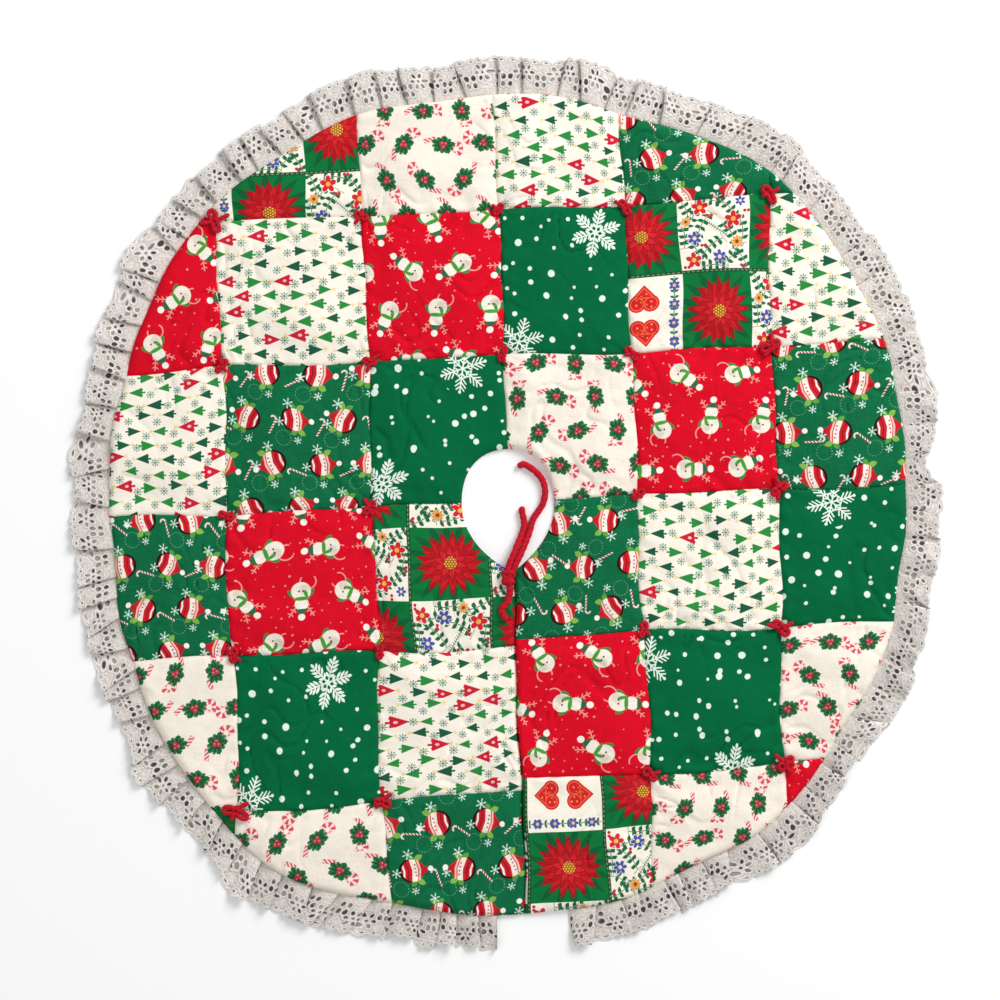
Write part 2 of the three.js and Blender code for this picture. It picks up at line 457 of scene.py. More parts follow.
def snapped_grid(outline: Outline, xs: Array, ys: Array) -> tuple[Array, Array, Array]:
    """A grid over a rectangle, trimmed to the outline.

    A point less than half a step from the outline moves onto it along the distance's gradient. A face with
    one corner further out keeps its other three, and one with more is left away.

    Args:
        outline: The cut shape.
        xs: The columns' places.
        ys: The rows' places.

    Returns:
        x and y of each point, row by row, and the faces kept.
    """
    x, y = (a.ravel() for a in np.meshgrid(xs, ys))
    step = max(np.diff(xs).max(), np.diff(ys).max())
    d = outline.inside(x, y)
    near = np.abs(d) < 0.5 * step
    e = 0.05 * MM
    for _ in range(3):
        nx, ny = x[near], y[near]
        dist = outline.inside(nx, ny)
        gx = (outline.inside(nx + e, ny) - dist) / e
        gy = (outline.inside(nx, ny + e) - dist) / e
        size = np.maximum(np.hypot(gx, gy), 0.3)
        x[near] = nx - dist * gx / size**2
        y[near] = ny - dist * gy / size**2
    faces = grid_faces(len(ys), len(xs))
    good = d[faces] > -0.5 * step
    full, corner = faces[good.all(axis=1)], good.sum(axis=1) == 3
    first = np.argmin(good[corner], axis=1)[:, None]
    turned = np.take_along_axis(faces[corner], (first + [1, 2, 3, 3]) % 4, axis=1)
    turned[:, 3] = turned[:, 2]
    return x, y, np.concatenate([full, turned])


def steps(low: float, high: float, step: float) -> Array:
    """Evenly spaced places from low to high, about a step apart."""
    return np.linspace(low, high, max(2, int(round((high - low) / step)) + 1))


# ------------------------------------------------------------------ shader maths
def math_method(operation: str, swapped: bool = False) -> Callable[..., "Field"]:
    """A method that adds one Math node.

    Args:
        operation: The node's operation.
        swapped: Whether the field is the node's last input.

    Returns:
        The method, which takes the other inputs, numbers or fields, and returns the result.
    """

    def method(field: "Field", *others: Any) -> "Field":
        """Adds the node."""
        values = (*others, field) if swapped else (field, *others)
        return field.graph.node("ShaderNodeMath", {"operation": operation}, dict(enumerate(values)))

    return method


@dataclass(frozen=True, eq=False)
class Field:
    """A number that varies over a surface: a socket whose arithmetic adds Math nodes.

    Attributes:
        graph: The node tree it belongs to.
        socket: The output that carries it.
    """

    graph: "Graph"
    socket: Any

    __add__ = __radd__ = math_method("ADD")
    __sub__, __rsub__ = math_method("SUBTRACT"), math_method("SUBTRACT", swapped=True)
    __mul__ = __rmul__ = math_method("MULTIPLY")
    __truediv__ = math_method("DIVIDE")
    __mod__ = math_method("FLOORED_MODULO")
    __abs__ = math_method("ABSOLUTE")
    least, most = math_method("MINIMUM"), math_method("MAXIMUM")
    below, above = math_method("LESS_THAN"), math_method("GREATER_THAN")
    floor, sin, cos, root = (math_method(name) for name in ("FLOOR", "SINE", "COSINE", "SQRT"))
    turn = math_method("ARCTAN2")

    def __neg__(self) -> "Field":
        """Opposite."""
        return self * -1.0

    def length(self, other: "Field") -> "Field":
        """The distance from the origin of the point with these two coordinates."""
        return (self * self + other * other).root()

    def fill(self, soft: float = 0.35) -> "Field":
        """Ink where a signed distance is negative, with an edge this many millimetres soft.

        Args:
            soft: How soft the edge is, in millimetres.

        Returns:
            The mask.
        """
        return self.graph.node(
            "ShaderNodeMapRange",
            {"clamp": True},
            {"Value": self, "From Min": soft / 2, "From Max": -soft / 2, "To Min": 0.0, "To Max": 1.0},
        )

    def line(self, half: float, soft: float = 0.35) -> "Field":
        """Ink within half a width of where this distance is zero."""
        return (abs(self) - half).fill(soft)


class Graph:
    """A material's node tree."""

    def __init__(self, name: str) -> None:
        """Makes a material with an empty Principled shader.

        Args:
            name: The material's name.
        """
        self.material = bpy.data.materials.new(name)
        self.material.use_nodes = True
        self.tree = self.material.node_tree
        self.shader = self.tree.nodes["Principled BSDF"]

    def node(self, kind: str, settings: dict[str, Any], inputs: dict[Any, Any], output: Any = 0) -> Field:
        """Adds any node.

        Args:
            kind: The node's type.
            settings: Its own settings, made first.
            inputs: Values, fields or sockets by input name or number.
            output: The output's name or number.

        Returns:
            That output.
        """
        made = self.tree.nodes.new(kind)
        for key, value in settings.items():
            setattr(made, key, value)
        for key, value in inputs.items():
            if isinstance(value, Field):
                self.tree.links.new(value.socket, made.inputs[key])
            else:
                made.inputs[key].default_value = value
        return Field(self, made.outputs[output])

    def mix(self, amount: Any, under: Any, over: Any, blend: str = "MIX") -> Field:
        """Lays one colour over another.

        Args:
            amount: How much of the upper colour shows.
            under: The lower colour, a field or linear red, green and blue.
            over: The upper colour.
            blend: The Mix node's blend type.

        Returns:
            The mixed colour.
        """
        colours = [c if isinstance(c, Field) else (*c, 1.0) for c in (under, over)]
        settings = {"data_type": "RGBA", "blend_type": blend}
        return self.node("ShaderNodeMix", settings, {0: amount, 6: colours[0], 7: colours[1]}, 2)

    def ink(self, under: Any, shape: Field, code: str, strength: float = 1.0, soft: float = 0.35) -> Field:
        """Prints a shape over a colour.

        Args:
            under: The colour below.
            shape: The signed distance to the shape, in millimetres.
            code: The ink's hexadecimal colour.
            strength: How well it covers.
            soft: How soft the shape's edge is, in millimetres.

        Returns:
            The printed colour.
        """
        mask = shape.fill(soft)
        return self.mix(mask if strength == 1.0 else mask * strength, under, hexed(code))

    def shaded(self, colour: Any, tone: Field) -> Field:
        """A colour times a factor."""
        return self.mix(1.0, colour, self.vector(tone, tone, tone), "MULTIPLY")

    def cloth_place(self) -> tuple[Field, ...]:
        """The cloth's own coordinates from the map named Print, in millimetres."""
        uv = self.node("ShaderNodeUVMap", {"uv_map": "Print"}, {})
        return tuple(self.node("ShaderNodeSeparateXYZ", {}, {0: uv}, k) * 100.0 for k in (0, 1))

    def vector(self, x: Any, y: Any, z: Any = 0.0) -> Field:
        """A vector from three numbers or fields."""
        return self.node("ShaderNodeCombineXYZ", {}, {0: x, 1: y, 2: z})

    def chance(self, i: Field, j: Field, seed: float = 0.0) -> Field:
        """A random number from 0 to 1 for each pair of whole numbers."""
        where = self.vector(i, j, seed)
        return self.node("ShaderNodeTexWhiteNoise", {"noise_dimensions": "3D"}, {"Vector": where}, "Value")

    def noise(self, x: Any, y: Any, scale: float, detail: float = 2.0) -> Field:
        """Soft noise from 0 to 1 over two coordinates in millimetres.

        Args:
            x: The first coordinate.
            y: The second.
            scale: How fine it is.
            detail: How much finer noise is added.

        Returns:
            The noise, from 0 to 1.
        """
        where = self.vector(x, y)
        inputs = {"Vector": where, "Scale": scale, "Detail": detail}
        return self.node("ShaderNodeTexNoise", {"noise_dimensions": "3D"}, inputs, "Fac")

    def threads(self, u: Field, v: Field, fine: float, long: float, detail: float = 1.0) -> Field:
        """Crossing threads, about zero: noise that is fine across each direction and long along it."""
        return self.noise(u * fine, v * long, 1.0, detail) + self.noise(u * long, v * fine, 1.0, detail) - 1.0

    def set(self, **values: Any) -> None:
        """Sets the shader's sockets by name, an underscore standing for a space."""
        for key, value in values.items():
            socket = self.shader.inputs[key.replace("_", " ")]
            if isinstance(value, Field):
                self.tree.links.new(value.socket, socket)
            else:
                socket.default_value = value

    def bump(self, height: Field, distance: float, strength: float = 1.0) -> None:
        """Feeds a height, in units of the distance, to the shader's normal."""
        inputs = {"Height": height, "Distance": distance, "Strength": strength}
        self.set(Normal=self.node("ShaderNodeBump", {}, inputs, "Normal"))


def hexed(code: str) -> tuple[float, float, float]:
    """The linear colour of a hexadecimal sRGB code.

    Args:
        code: The hexadecimal colour.

    Returns:
        The colour as a socket takes it.
    """
    parts = np.array([int(code[k : k + 2], 16) for k in (0, 2, 4)]) / 255
    linear = np.where(parts <= 0.04045, parts / 12.92, ((parts + 0.055) / 1.055) ** 2.4)
    return tuple(float(v) for v in linear)


# ------------------------------------------------------------------ motifs
@dataclass(frozen=True)
class Place:
    """A point within a motif.

    Attributes:
        x: Its first coordinate, in millimetres.
        y: Its second.
        i: The repeat's whole number along U.
        j: The repeat's whole number along V.
    """

    x: Field
    y: Field
    i: Field
    j: Field

    def moved(self, dx: Any, dy: Any) -> "Place":
        """The same point seen from a place this far away."""
        return Place(self.x - dx, self.y - dy, self.i, self.j)

    def turned(self, angle: Any) -> "Place":
        """The same point in axes turned by an angle in radians, a number or a field.

        Args:
            angle: A number or a field, in radians.

        Returns:
            The turned place.
        """
        if isinstance(angle, Field):
            c, s = angle.cos(), angle.sin()
        else:
            c, s = float(np.cos(angle)), float(np.sin(angle))
        return Place(self.x * c + self.y * s, self.y * c - self.x * s, self.i, self.j)

    def disc(self, radius: Any) -> Field:
        """The signed distance to a disc."""
        return self.x.length(self.y) - radius

    def oval(self, half_x: float, half_y: float) -> Field:
        """The signed distance to an oval, nearly."""
        near = (self.x / half_x).length(self.y / half_y)
        return (near - 1.0) * min(half_x, half_y)

    def bar(self, half_x: float, half_y: float) -> Field:
        """The signed distance to a rectangle, nearly."""
        return (abs(self.x) - half_x).most(abs(self.y) - half_y)

    def lens(self, reach: float, half: float) -> Field:
        """The signed distance to a petal along X, pointed at 0 and at its reach, nearly.

        Args:
            reach: The petal's length.
            half: Half its width.

        Returns:
            The distance.
        """
        t = self.x / reach
        side = abs(self.y) - t * (1.0 - t) * (4.0 * half)
        return side.most((abs(t - 0.5) - 0.5) * reach)

    def sprig(self, reach: float, pitch: float, leaf: float, half: float, lean: float = 0.85) -> Field:
        """The signed distance to a stem along X with pairs of leaves, nearly.

        Args:
            reach: The stem's length.
            pitch: The step between pairs.
            leaf: A leaf's length.
            half: Half its width.
            lean: How far a leaf turns from the stem, in radians.

        Returns:
            The distance.
        """
        stem = (abs(self.y) - 0.45).most(abs(self.x) - reach)
        pair = Place(self.x % pitch - pitch * 0.5, abs(self.y), self.i, self.j).turned(lean)
        leaves = pair.moved(0.4, 0.0).lens(leaf, half)
        return stem.least(leaves.most(abs(self.x) - reach))

    def petals(self, count: int, low: float, high: float) -> Field:
        """The signed distance to a flower whose radius swings between low and high."""
        swing = abs((self.y.turn(self.x) * (count / 2)).cos())
        return self.x.length(self.y) - (swing * (high - low) + low)

    def arms(self, count: int) -> "Place":
        """The point folded into one arm of a star, with X along the arm and Y away from it.

        Args:
            count: How many arms.

        Returns:
            The folded place.
        """
        radius = self.x.length(self.y)
        sector = 2 * np.pi / count
        angle = (self.y.turn(self.x) + sector / 2) % sector - sector / 2
        return Place(radius * angle.cos(), abs(radius * angle.sin()), self.i, self.j)


def repeat(
    u: Field, v: Field, pitch_u: float, pitch_v: float, stagger: float = 0.5, drift: float = 0.0
) -> Place:
    """Cuts a cloth into cells of a staggered repeat.

    Args:
        u: The cloth's first coordinate.
        v: Its second.
        pitch_u: The cell's width.
        pitch_v: The cell's height.
        stagger: How far every second row is shifted, in cells.
        drift: How far each row is shifted past the one before it, in cells.

    Returns:
        The place within a cell, from its middle.
    """
    j = (v / pitch_v).floor()
    shifted = u / pitch_u + (j % 2.0) * stagger + j * drift
    i = shifted.floor()
    return Place((shifted - i - 0.5) * pitch_u, (v / pitch_v - j - 0.5) * pitch_v, i, j)


@dataclass(frozen=True)
class Cotton:
    """A printed cotton.

    Attributes:
        ground: The cloth's own colour.
        slub: How strongly thick threads show.
        draw: Lays the print over the ground.
    """

    ground: str
    slub: float
    draw: Callable[[Graph, Field, Field, Any], Field]

    def material(self, name: str) -> bpy.types.Material:
        """The material of this name, with print, weave, slubs and slight fading.

        Args:
            name: The material's name.

        Returns:
            The material.
        """
        g = Graph(name)
        u, v = g.cloth_place()
        colour = self.draw(g, u, v, hexed(self.ground))
        threads, slubs = g.threads(u, v, 3.2, 0.16), g.threads(u, v, 1.0, 0.06, 2.0)
        fade = g.noise(u, v, 0.012, 3.0)
        tone = (threads + slubs * 1.6) * self.slub + (fade - 0.5) * 0.16 + 1.0
        weave = (u * (2 * np.pi / 0.9)).sin() * (v * (2 * np.pi / 0.9)).sin()
        crumple = g.noise(u, v, 0.11, 4.0) * 3.2 + g.noise(u * 0.3, v, 0.5, 2.0)
        g.bump(threads * 0.8 + slubs * 0.8 + weave * 0.12 + crumple, 0.3 * MM, 0.65)
        g.set(Base_Color=g.shaded(colour, tone), Roughness=fade * 0.1 + 0.8, Specular_IOR_Level=0.08)
        return g.material


def asterisk(at: Place, arms: int, reach: float, half: float) -> Field:
    """A small star of thin arms, with a gap near the middle and a dot at each tip.

    Args:
        at: The place from the star's middle.
        arms: How many arms.
        reach: Their length.
        half: Half their width.

    Returns:
        Its mask.
    """
    arm = at.arms(arms)
    stroke = (arm.x - reach).most(arm.y - half)
    gap = (arm.x - reach * 0.38).line(half * 0.6)
    return stroke.fill() * (1.0 - gap * 0.7)


def draw_trees(g: Graph, u: Field, v: Field, ground: Any) -> Field:
    """Small sideways fir trees in two greens and red, with star tips and thin snow stars between them.

    Args:
        g: The cloth's node tree.
        u: The cloth's first coordinate, in millimetres.
        v: Its second.
        ground: The cloth's own colour.

    Returns:
        The printed colour.
    """
    at = repeat(u, v, 28.5, 15.2, 0.5, 0.14)
    pick, aim = g.chance(at.i, at.j), g.chance(at.i, at.j, 7.0)
    side = aim.below(0.5) * 2.0 - 1.0
    red = pick.below(0.15)
    size = red * 0.3 + g.chance(at.i, at.j, 4.0) * 0.25 + 0.76
    drop = g.chance(at.i, at.j, 9.0) * 6.4 - 3.2
    shift = g.chance(at.i, at.j, 11.0) * 5.0 - 2.5
    tree = Place((at.x + shift) * side / size, (at.y + drop) / size, at.i, at.j)
    taper = abs(tree.y) - (8.4 - tree.x) * 0.41
    base = -7.6 - tree.x + abs((tree.y * (np.pi / 3.6)).sin()) * 1.1
    ink = taper.most(base).least(tree.moved(-8.4, 0.0).bar(1.6, 1.05)).fill(0.4)
    body = g.mix(pick.above(0.62), hexed("2c8a3f"), hexed("1c5a3f"))
    body = g.mix(red, body, hexed("cf1f38"))
    blob = tree.moved(-2.2, 0.0).oval(1.7, 1.3).fill() * 0.75
    body = g.mix(blob * red, body, hexed("f5e2d4"))
    colour = g.ink(ground, tree.moved(10.6, 0.0).petals(5, 1.1, 2.5), "edd27c", 0.8, soft=0.8)
    colour = g.mix(ink, colour, body)
    star = repeat(u + 13.6, v + 4.9, 28.5, 15.2, 0.5, 0.14)
    lift = g.chance(star.i, star.j, 3.0) * 4.0 - 2.0
    flake = asterisk(star.moved(0.0, lift), 8, 4.4, 0.6)
    return g.mix(flake * 0.9, colour, hexed("3f7f66"))


def draw_baubles(g: Graph, u: Field, v: Field, ground: Any) -> Field:
    """Round red and white baubles with lime leaves, snow stars, striped sticks and dotted swirls.

    Args:
        g: The cloth's node tree.
        u: The cloth's first coordinate, in millimetres.
        v: Its second.
        ground: The cloth's own colour.

    Returns:
        The printed colour.
    """
    at = repeat(u, v, 52.0, 47.0)
    swing = (g.chance(at.i, at.j) - 0.5) * 1.0 + (at.i % 2.0) * np.pi
    ball = at.moved(-3.0, 0.0).turned(swing)
    swirl = repeat(u + 17.0, v + 20.0, 52.0, 47.0)
    ring = abs(swirl.disc(8.0)).least(abs(swirl.moved(13.0, 3.0).disc(6.0))) - 0.35
    dots = (swirl.y.turn(swirl.x) * 16.0).sin().above(0.0)
    colour = g.mix(ring.fill() * dots * 0.4, ground, hexed("a9d2bd"))
    back = ball.moved(-1.6, 0.0).disc(13.0).most(ball.x + 3.5)
    colour = g.ink(colour, back, "2c1210")
    for side in (-1.0, 1.0):
        for lean, reach, half, tone in ((0.5, 10.0, 3.0, "7fb24a"), (2.4, 9.0, 2.8, "5f9a40")):
            leaf = ball.moved(2.5, 10.6 * side).turned(lean * side).lens(reach, half)
            colour = g.ink(colour, leaf, tone)
    coat = ball.disc(11.8)
    colour = g.ink(colour, coat, "c9202c")
    bands = ((-9.0, 1.0, "f4ece2"), (-4.6, 0.5, "8a1018"), (2.4, 3.0, "f3e8dc"), (7.4, 1.0, "efc4b2"))
    for place, wide, tone in bands:
        band = coat.most(abs(ball.x - place + abs(ball.y) * 0.18) - wide)
        colour = g.ink(colour, band, tone)
    glint = ball.moved(2.6, 0.0)
    for dy in (-6.0, -2.0, 2.0, 6.0):
        colour = g.ink(colour, glint.moved(0.0, dy).disc(0.9), "b8303a")
    tip = ball.moved(14.0, 0.0)
    colour = g.ink(colour, (abs(tip.y) - (3.4 - tip.x) * 0.75).most(abs(tip.x) - 3.2), "c11c28")
    colour = g.ink(colour, ball.moved(18.4, 0.0).disc(2.9), "f6f2ea")
    for dx, dy, reach in ((20.0, 3.0, 5.0), (2.0, 22.0, 4.0), (34.0, 30.0, 5.6)):
        flake = repeat(u + dx, v + dy, 52.0, 47.0)
        colour = g.mix(asterisk(flake.turned(0.3), 6, reach, 0.6), colour, hexed("cfe6da"))
    stick = repeat(u + 28.0, v + 9.0, 52.0, 47.0)
    lean = stick.turned(g.chance(stick.i, stick.j, 5.0) * 3.1)
    twist = ((lean.x + lean.y) * (2 * np.pi / 3.4)).sin().above(0.0)
    rod = lean.bar(8.5, 0.95).fill()
    colour = g.mix(rod, colour, g.mix(twist, hexed("f3e6df"), hexed("a51f26")))
    hook = lean.moved(8.5, 2.6)
    bend = (abs(hook.disc(2.6)) - 0.9).most(-hook.x)
    return g.ink(colour, bend, "e9d8cf")


def draw_figures(g: Graph, u: Field, v: Field, ground: Any) -> Field:
    """Plain two-ball snow figures with green scarves and caps, pink curls and scattered dots on red.

    Args:
        g: The cloth's node tree.
        u: The cloth's first coordinate, in millimetres.
        v: Its second.
        ground: The cloth's own colour.

    Returns:
        The printed colour.
    """
    dust = repeat(u, v, 13.0, 11.0)
    px, py = g.chance(dust.i, dust.j, 1.0), g.chance(dust.i, dust.j, 2.0)
    dot = dust.moved((px - 0.5) * 8.0, (py - 0.5) * 7.0).disc(px * 0.9 + 0.35).fill(0.5)
    colour = g.mix(dot * py.above(0.35) * 0.75, ground, hexed("f3a59c"))
    at = repeat(u / 1.22, v / 1.22, 45.0, 41.0)
    pick = g.chance(at.i, at.j)
    body = at.moved(pick * 6.0 - 3.0, 0.0).turned((pick - 0.5) * 1.6 + (at.j % 2.0) * 1.9)
    curl = body.moved(-13.0, 6.0)
    tail = (abs(curl.disc(6.5)) - 0.55).most(-curl.x - 4.0)
    colour = g.ink(colour, tail, "f0a9a0", 0.85)
    for side in (-1.0, 1.0):
        arm = body.moved(-3.4, 8.4 * side).turned(-0.5 * side)
        colour = g.ink(colour, arm.oval(3.9, 1.7), "3d8a45")
        twig = body.moved(12.0, 7.0 * side).turned(0.6 * side)
        twigs = twig.sprig(6.0, 4.0, 4.5, 0.5)
        colour = g.ink(colour, twigs, "f2b3a8", 0.8)
    colour = g.ink(colour, body.moved(-5.0, 0.0).disc(8.0), "f1e7d8")
    shade = body.moved(-6.5, 3.2).disc(4.2).fill(1.6)
    colour = g.mix(shade * 0.35, colour, hexed("b89e8c"))
    colour = g.ink(colour, body.moved(6.0, 0.0).disc(5.6), "f4ecdf")
    scarf = body.moved(1.4, 0.0).oval(1.7, 6.4).least(body.moved(-2.2, 3.8).turned(0.3).oval(3.8, 1.5))
    colour = g.ink(colour, scarf, "4a9a3c")
    hat = body.moved(10.4, 0.0)
    colour = g.ink(colour, (abs(hat.y) - (5.5 - hat.x * 0.9)).most(-hat.x), "2f6b45")
    colour = g.ink(colour, body.moved(17.5, 0.0).disc(2.9), "f6f0e6")
    for dy in (-1.7, 1.7):
        button = body.moved(-5.0, dy).disc(0.8)
        colour = g.ink(colour, button, "3a2a26")
    return colour


def draw_snow(g: Graph, u: Field, v: Field, ground: Any) -> Field:
    """Scattered snow dots on green, with rows of large leafy and large geometric snow stars.

    Args:
        g: The cloth's node tree.
        u: The cloth's first coordinate, in millimetres.
        v: Its second.
        ground: The cloth's own colour.

    Returns:
        The printed colour.
    """
    colour = ground
    for pitch, shift, big in ((30.0, 0.0, 1.7), (36.0, 11.0, 1.0)):
        flake = repeat(u + shift, v + shift * 0.6, pitch, pitch * 0.86)
        px, py = g.chance(flake.i, flake.j, 1.0 + big), g.chance(flake.i, flake.j, 2.0 + big)
        spot = flake.moved((px - 0.5) * pitch * 0.6, (py - 0.5) * pitch * 0.5)
        wide = g.chance(flake.i, flake.j, 5.0) * 1.5 * big + 1.5
        colour = g.ink(colour, spot.disc(wide) + g.noise(u, v, 0.6) - 0.5, "e3f4e8", soft=0.6)
    at = repeat(u + 89.0, v + 58.0, 178.0, 116.0)
    leafy = (at.j % 2.0).below(0.5)
    clear = at.disc(27.5).fill(0.5)
    colour = g.mix(clear, colour, ground)
    arm = at.turned(0.26).arms(6)
    stem = (arm.x - 25.0).most(arm.y - 0.75)
    leaves, bars = stem, stem
    for place, reach in ((5.0, 6.0), (9.5, 8.6), (14.0, 8.4), (18.5, 6.6)):
        branch = arm.moved(place, 0.0).turned(0.78)
        leaves = leaves.least(branch.moved(0.8, 0.0).lens(reach, 1.35))
        bars = bars.least((abs(branch.y) - 0.7).most(branch.x - reach).most(-branch.x))
    tip = arm.moved(21.5, 0.0).lens(6.0, 1.6)
    hub = at.petals(6, 1.0, 3.4)
    outline = abs(at.turned(0.26).petals(6, 8.6, 10.2)) - 0.6
    crystal = outline.least(bars).least(arm.moved(25.0, 0.0).disc(1.6))
    star = leaves.least(tip).least(hub).fill() * leafy + crystal.fill() * (1.0 - leafy)
    return g.mix(star, colour, hexed("e9f5ea"))


def striped(g: Graph, place: Place, pitch: float) -> Field:
    """Slanting candy stripes in pale and deep pink."""
    wave = ((place.x + place.y) * (2 * np.pi / pitch)).sin()
    return g.mix(wave.above(-0.1), hexed("f9dfd8"), hexed("d8505a"))


def draw_holly(g: Graph, u: Field, v: Field, ground: Any) -> Field:
    """Spiky holly clusters with berries, a striped cane's hook beside each and a short stick across from it.

    Args:
        g: The cloth's node tree.
        u: The cloth's first coordinate, in millimetres.
        v: Its second.
        ground: The cloth's own colour.

    Returns:
        The printed colour.
    """
    at = repeat(u, v, 41.0, 36.0)
    sprig = at.turned(g.chance(at.i, at.j) * (2 * np.pi))
    rod = sprig.moved(-14.5, 3.0).turned(0.45)
    hook = sprig.moved(14.0, -2.5)
    bend = (abs(hook.disc(5.4)) - 2.4).most(hook.x * -0.5 - hook.y - 4.2)
    colour = g.ink(ground, (bend - 0.5).least(rod.bar(6.4, 2.5)), "e99a97")
    colour = g.mix(rod.bar(6.0, 2.0).fill(), colour, striped(g, rod, 4.4))
    spin = Place(hook.y.turn(hook.x) * 5.0, hook.y * 0.0, at.i, at.j)
    colour = g.mix(bend.fill(), colour, striped(g, spin, 5.2))
    for count, reach, half, tone, turn in (
        (5, 11.6, 3.6, "24693f", 0.3), (5, 10.2, 3.2, "2f7f4b", 0.95), (9, 8.4, 1.6, "1d5634", 0.0),
    ):
        arm = Place(sprig.x * 0.86, sprig.y * 1.14, at.i, at.j).turned(turn).arms(count)
        spikes = abs((arm.x * (np.pi / 2.7)).sin()) * 0.9 - 0.4
        leaf = arm.lens(reach, half) - spikes
        colour = g.ink(colour, leaf, tone)
        colour = g.ink(colour, (arm.y - 0.2).most(leaf + 0.8), "12381f", 0.5)
    for dx, dy in ((1.9, 1.4), (-1.9, 1.3), (0.2, -2.2)):
        berry = sprig.moved(dx, dy)
        colour = g.ink(colour, berry.disc(2.3) - 0.3, "6f2026")
        colour = g.ink(colour, berry.disc(2.2), "b9434a")
        colour = g.ink(colour, berry.moved(0.5, 0.6).disc(0.7), "e7a79e", 0.7, soft=0.8)
    return colour


def draw_poinsettia(g: Graph, at: Place) -> Field:
    """A green cell: dark leaves, then rings of pointed red petals round a gold dotted eye.

    Args:
        g: The cloth's node tree.
        at: The place within the cell.

    Returns:
        The cell's colour.
    """
    colour = hexed("0d7238")
    for count, reach, half, tone, edge, turn in (
        (16, 46.0, 4.2, "0f5c34", "0d7238", 0.1), (17, 34.0, 3.9, "b3171f", "6a0c12", 0.0),
        (15, 29.5, 3.7, "cc2028", "7d1016", 0.2), (12, 23.0, 3.4, "bd1a22", "6a0c12", 0.1),
        (10, 16.5, 2.8, "d62a31", "7d1016", 0.4), (7, 10.0, 2.2, "c41f27", "6a0c12", 0.15),
    ):
        arm = at.turned(turn).arms(count)
        petal = arm.lens(reach, half)
        colour = g.ink(colour, petal - 0.45, edge)
        colour = g.ink(colour, petal, tone)
        colour = g.ink(colour, (arm.y - 0.18).most(petal + 1.0), edge, 0.75)
    eye = repeat(at.x, at.y, 2.9, 2.5)
    colour = g.ink(colour, at.disc(6.0), "3f5a20", 0.5, soft=0.5)
    return g.mix(at.disc(6.6).fill(0.5) * eye.disc(0.95).fill(0.5), colour, hexed("efc048"))


def draw_garden(g: Graph, at: Place) -> Field:
    """A cream cell: leafy sprigs all over, a fern in the middle and small bright flowers between them.

    Args:
        g: The cloth's node tree.
        at: The place within the cell.

    Returns:
        The cell's colour.
    """
    colour = hexed("f6efe0")
    vines = at.moved(3.0, -3.0).turned(0.9).sprig(16.0, 2.8, 10.0, 0.85, 0.95)
    for dx, dy, lean in (
        (-19.0, 20.0, 0.35), (17.0, 22.0, -0.5), (-24.0, -20.0, -0.7), (24.0, -17.0, 0.6), (-1.0, 31.0, 0.1),
        (-35.0, 2.0, 1.5), (35.0, 4.0, 1.4), (1.0, -30.0, 0.15), (-14.0, 4.0, 2.2), (10.0, 12.0, 2.6),
        (33.0, 31.0, 0.5), (-34.0, -33.0, 0.4), (-3.0, -18.0, 0.5),
    ):
        vine = at.moved(dx, dy).turned(lean)
        bent = Place(vine.x, vine.y - vine.x * vine.x * 0.014, at.i, at.j)
        vines = vines.least(bent.sprig(15.0, 7.2, 7.0, 2.4, 0.98))
    colour = g.ink(colour, vines, "1d6a42")
    for dx, dy, petals, size, tone, heart in (
        (-29.0, 24.0, 5, 8.4, "d3303a", "f2c25a"), (-6.0, 21.0, 6, 7.6, "4653a6", "f0dca0"),
        (28.0, 14.0, 5, 9.0, "d32733", "f2b04a"), (-27.0, -4.0, 6, 7.6, "4a58ac", "f0dca0"),
        (12.0, -20.0, 5, 9.0, "d32733", "f2b04a"), (-12.0, -24.0, 9, 6.8, "e3963a", "7a4a1c"),
        (31.0, -28.0, 6, 5.6, "4653a6", "f0dca0"), (13.0, 29.0, 9, 5.6, "e3963a", "7a4a1c"),
    ):
        flower = at.moved(dx, dy)
        bloom = flower.petals(petals, size * 0.45, size)
        colour = g.ink(colour, bloom - 0.9, "f6efe0")
        colour = g.ink(colour, bloom, tone)
        colour = g.ink(colour, flower.disc(size * 0.28), heart)
    for dx, dy in (
        (-36.0, 32.0), (37.0, -6.0), (-14.0, 12.0), (18.0, 4.0), (-36.0, -30.0), (4.0, -14.0), (20.0, -34.0),
    ):
        pair = Place(at.x - dx, abs(at.y - dy) - 1.9, at.i, at.j)
        colour = g.ink(colour, pair.disc(1.7), "c62a34")
    return colour


def draw_hearts(g: Graph, at: Place) -> Field:
    """A cream cell: two red hearts whose points face away from each other, between rows of flowers.

    Args:
        g: The cloth's node tree.
        at: The place within the cell.

    Returns:
        The cell's colour.
    """
    colour = hexed("f6efe0")
    x, y = abs(at.x) - 17.0, abs(at.y)
    half = Place(x, y, at.i, at.j)
    point = ((y - (14.5 - x) * 0.92) * 0.73).most(-x - 1.0)
    shape = half.moved(-4.6, 6.6).disc(8.4).least(point)
    colour = g.ink(colour, shape, "d3242c")
    colour = g.mix((shape + 2.2).line(0.45), colour, hexed("f0703f"))
    spots = repeat(x, at.y, 5.4, 4.8).disc(0.95)
    colour = g.ink(colour, spots.most(shape + 4.0), "f5a855")
    rows = Place(at.x, y - 29.0, at.i, at.j)
    colour = g.ink(colour, rows.sprig(38.0, 6.0, 5.4, 1.4), "2a7748")
    beads = repeat(at.x, y - 29.0, 19.0, 40.0, 0.0)
    bead = Place(beads.x, y - 29.0, at.i, at.j)
    colour = g.ink(colour, bead.petals(6, 3.2, 5.6), "4a58ac")
    return g.ink(colour, bead.disc(1.7), "f2c25a")


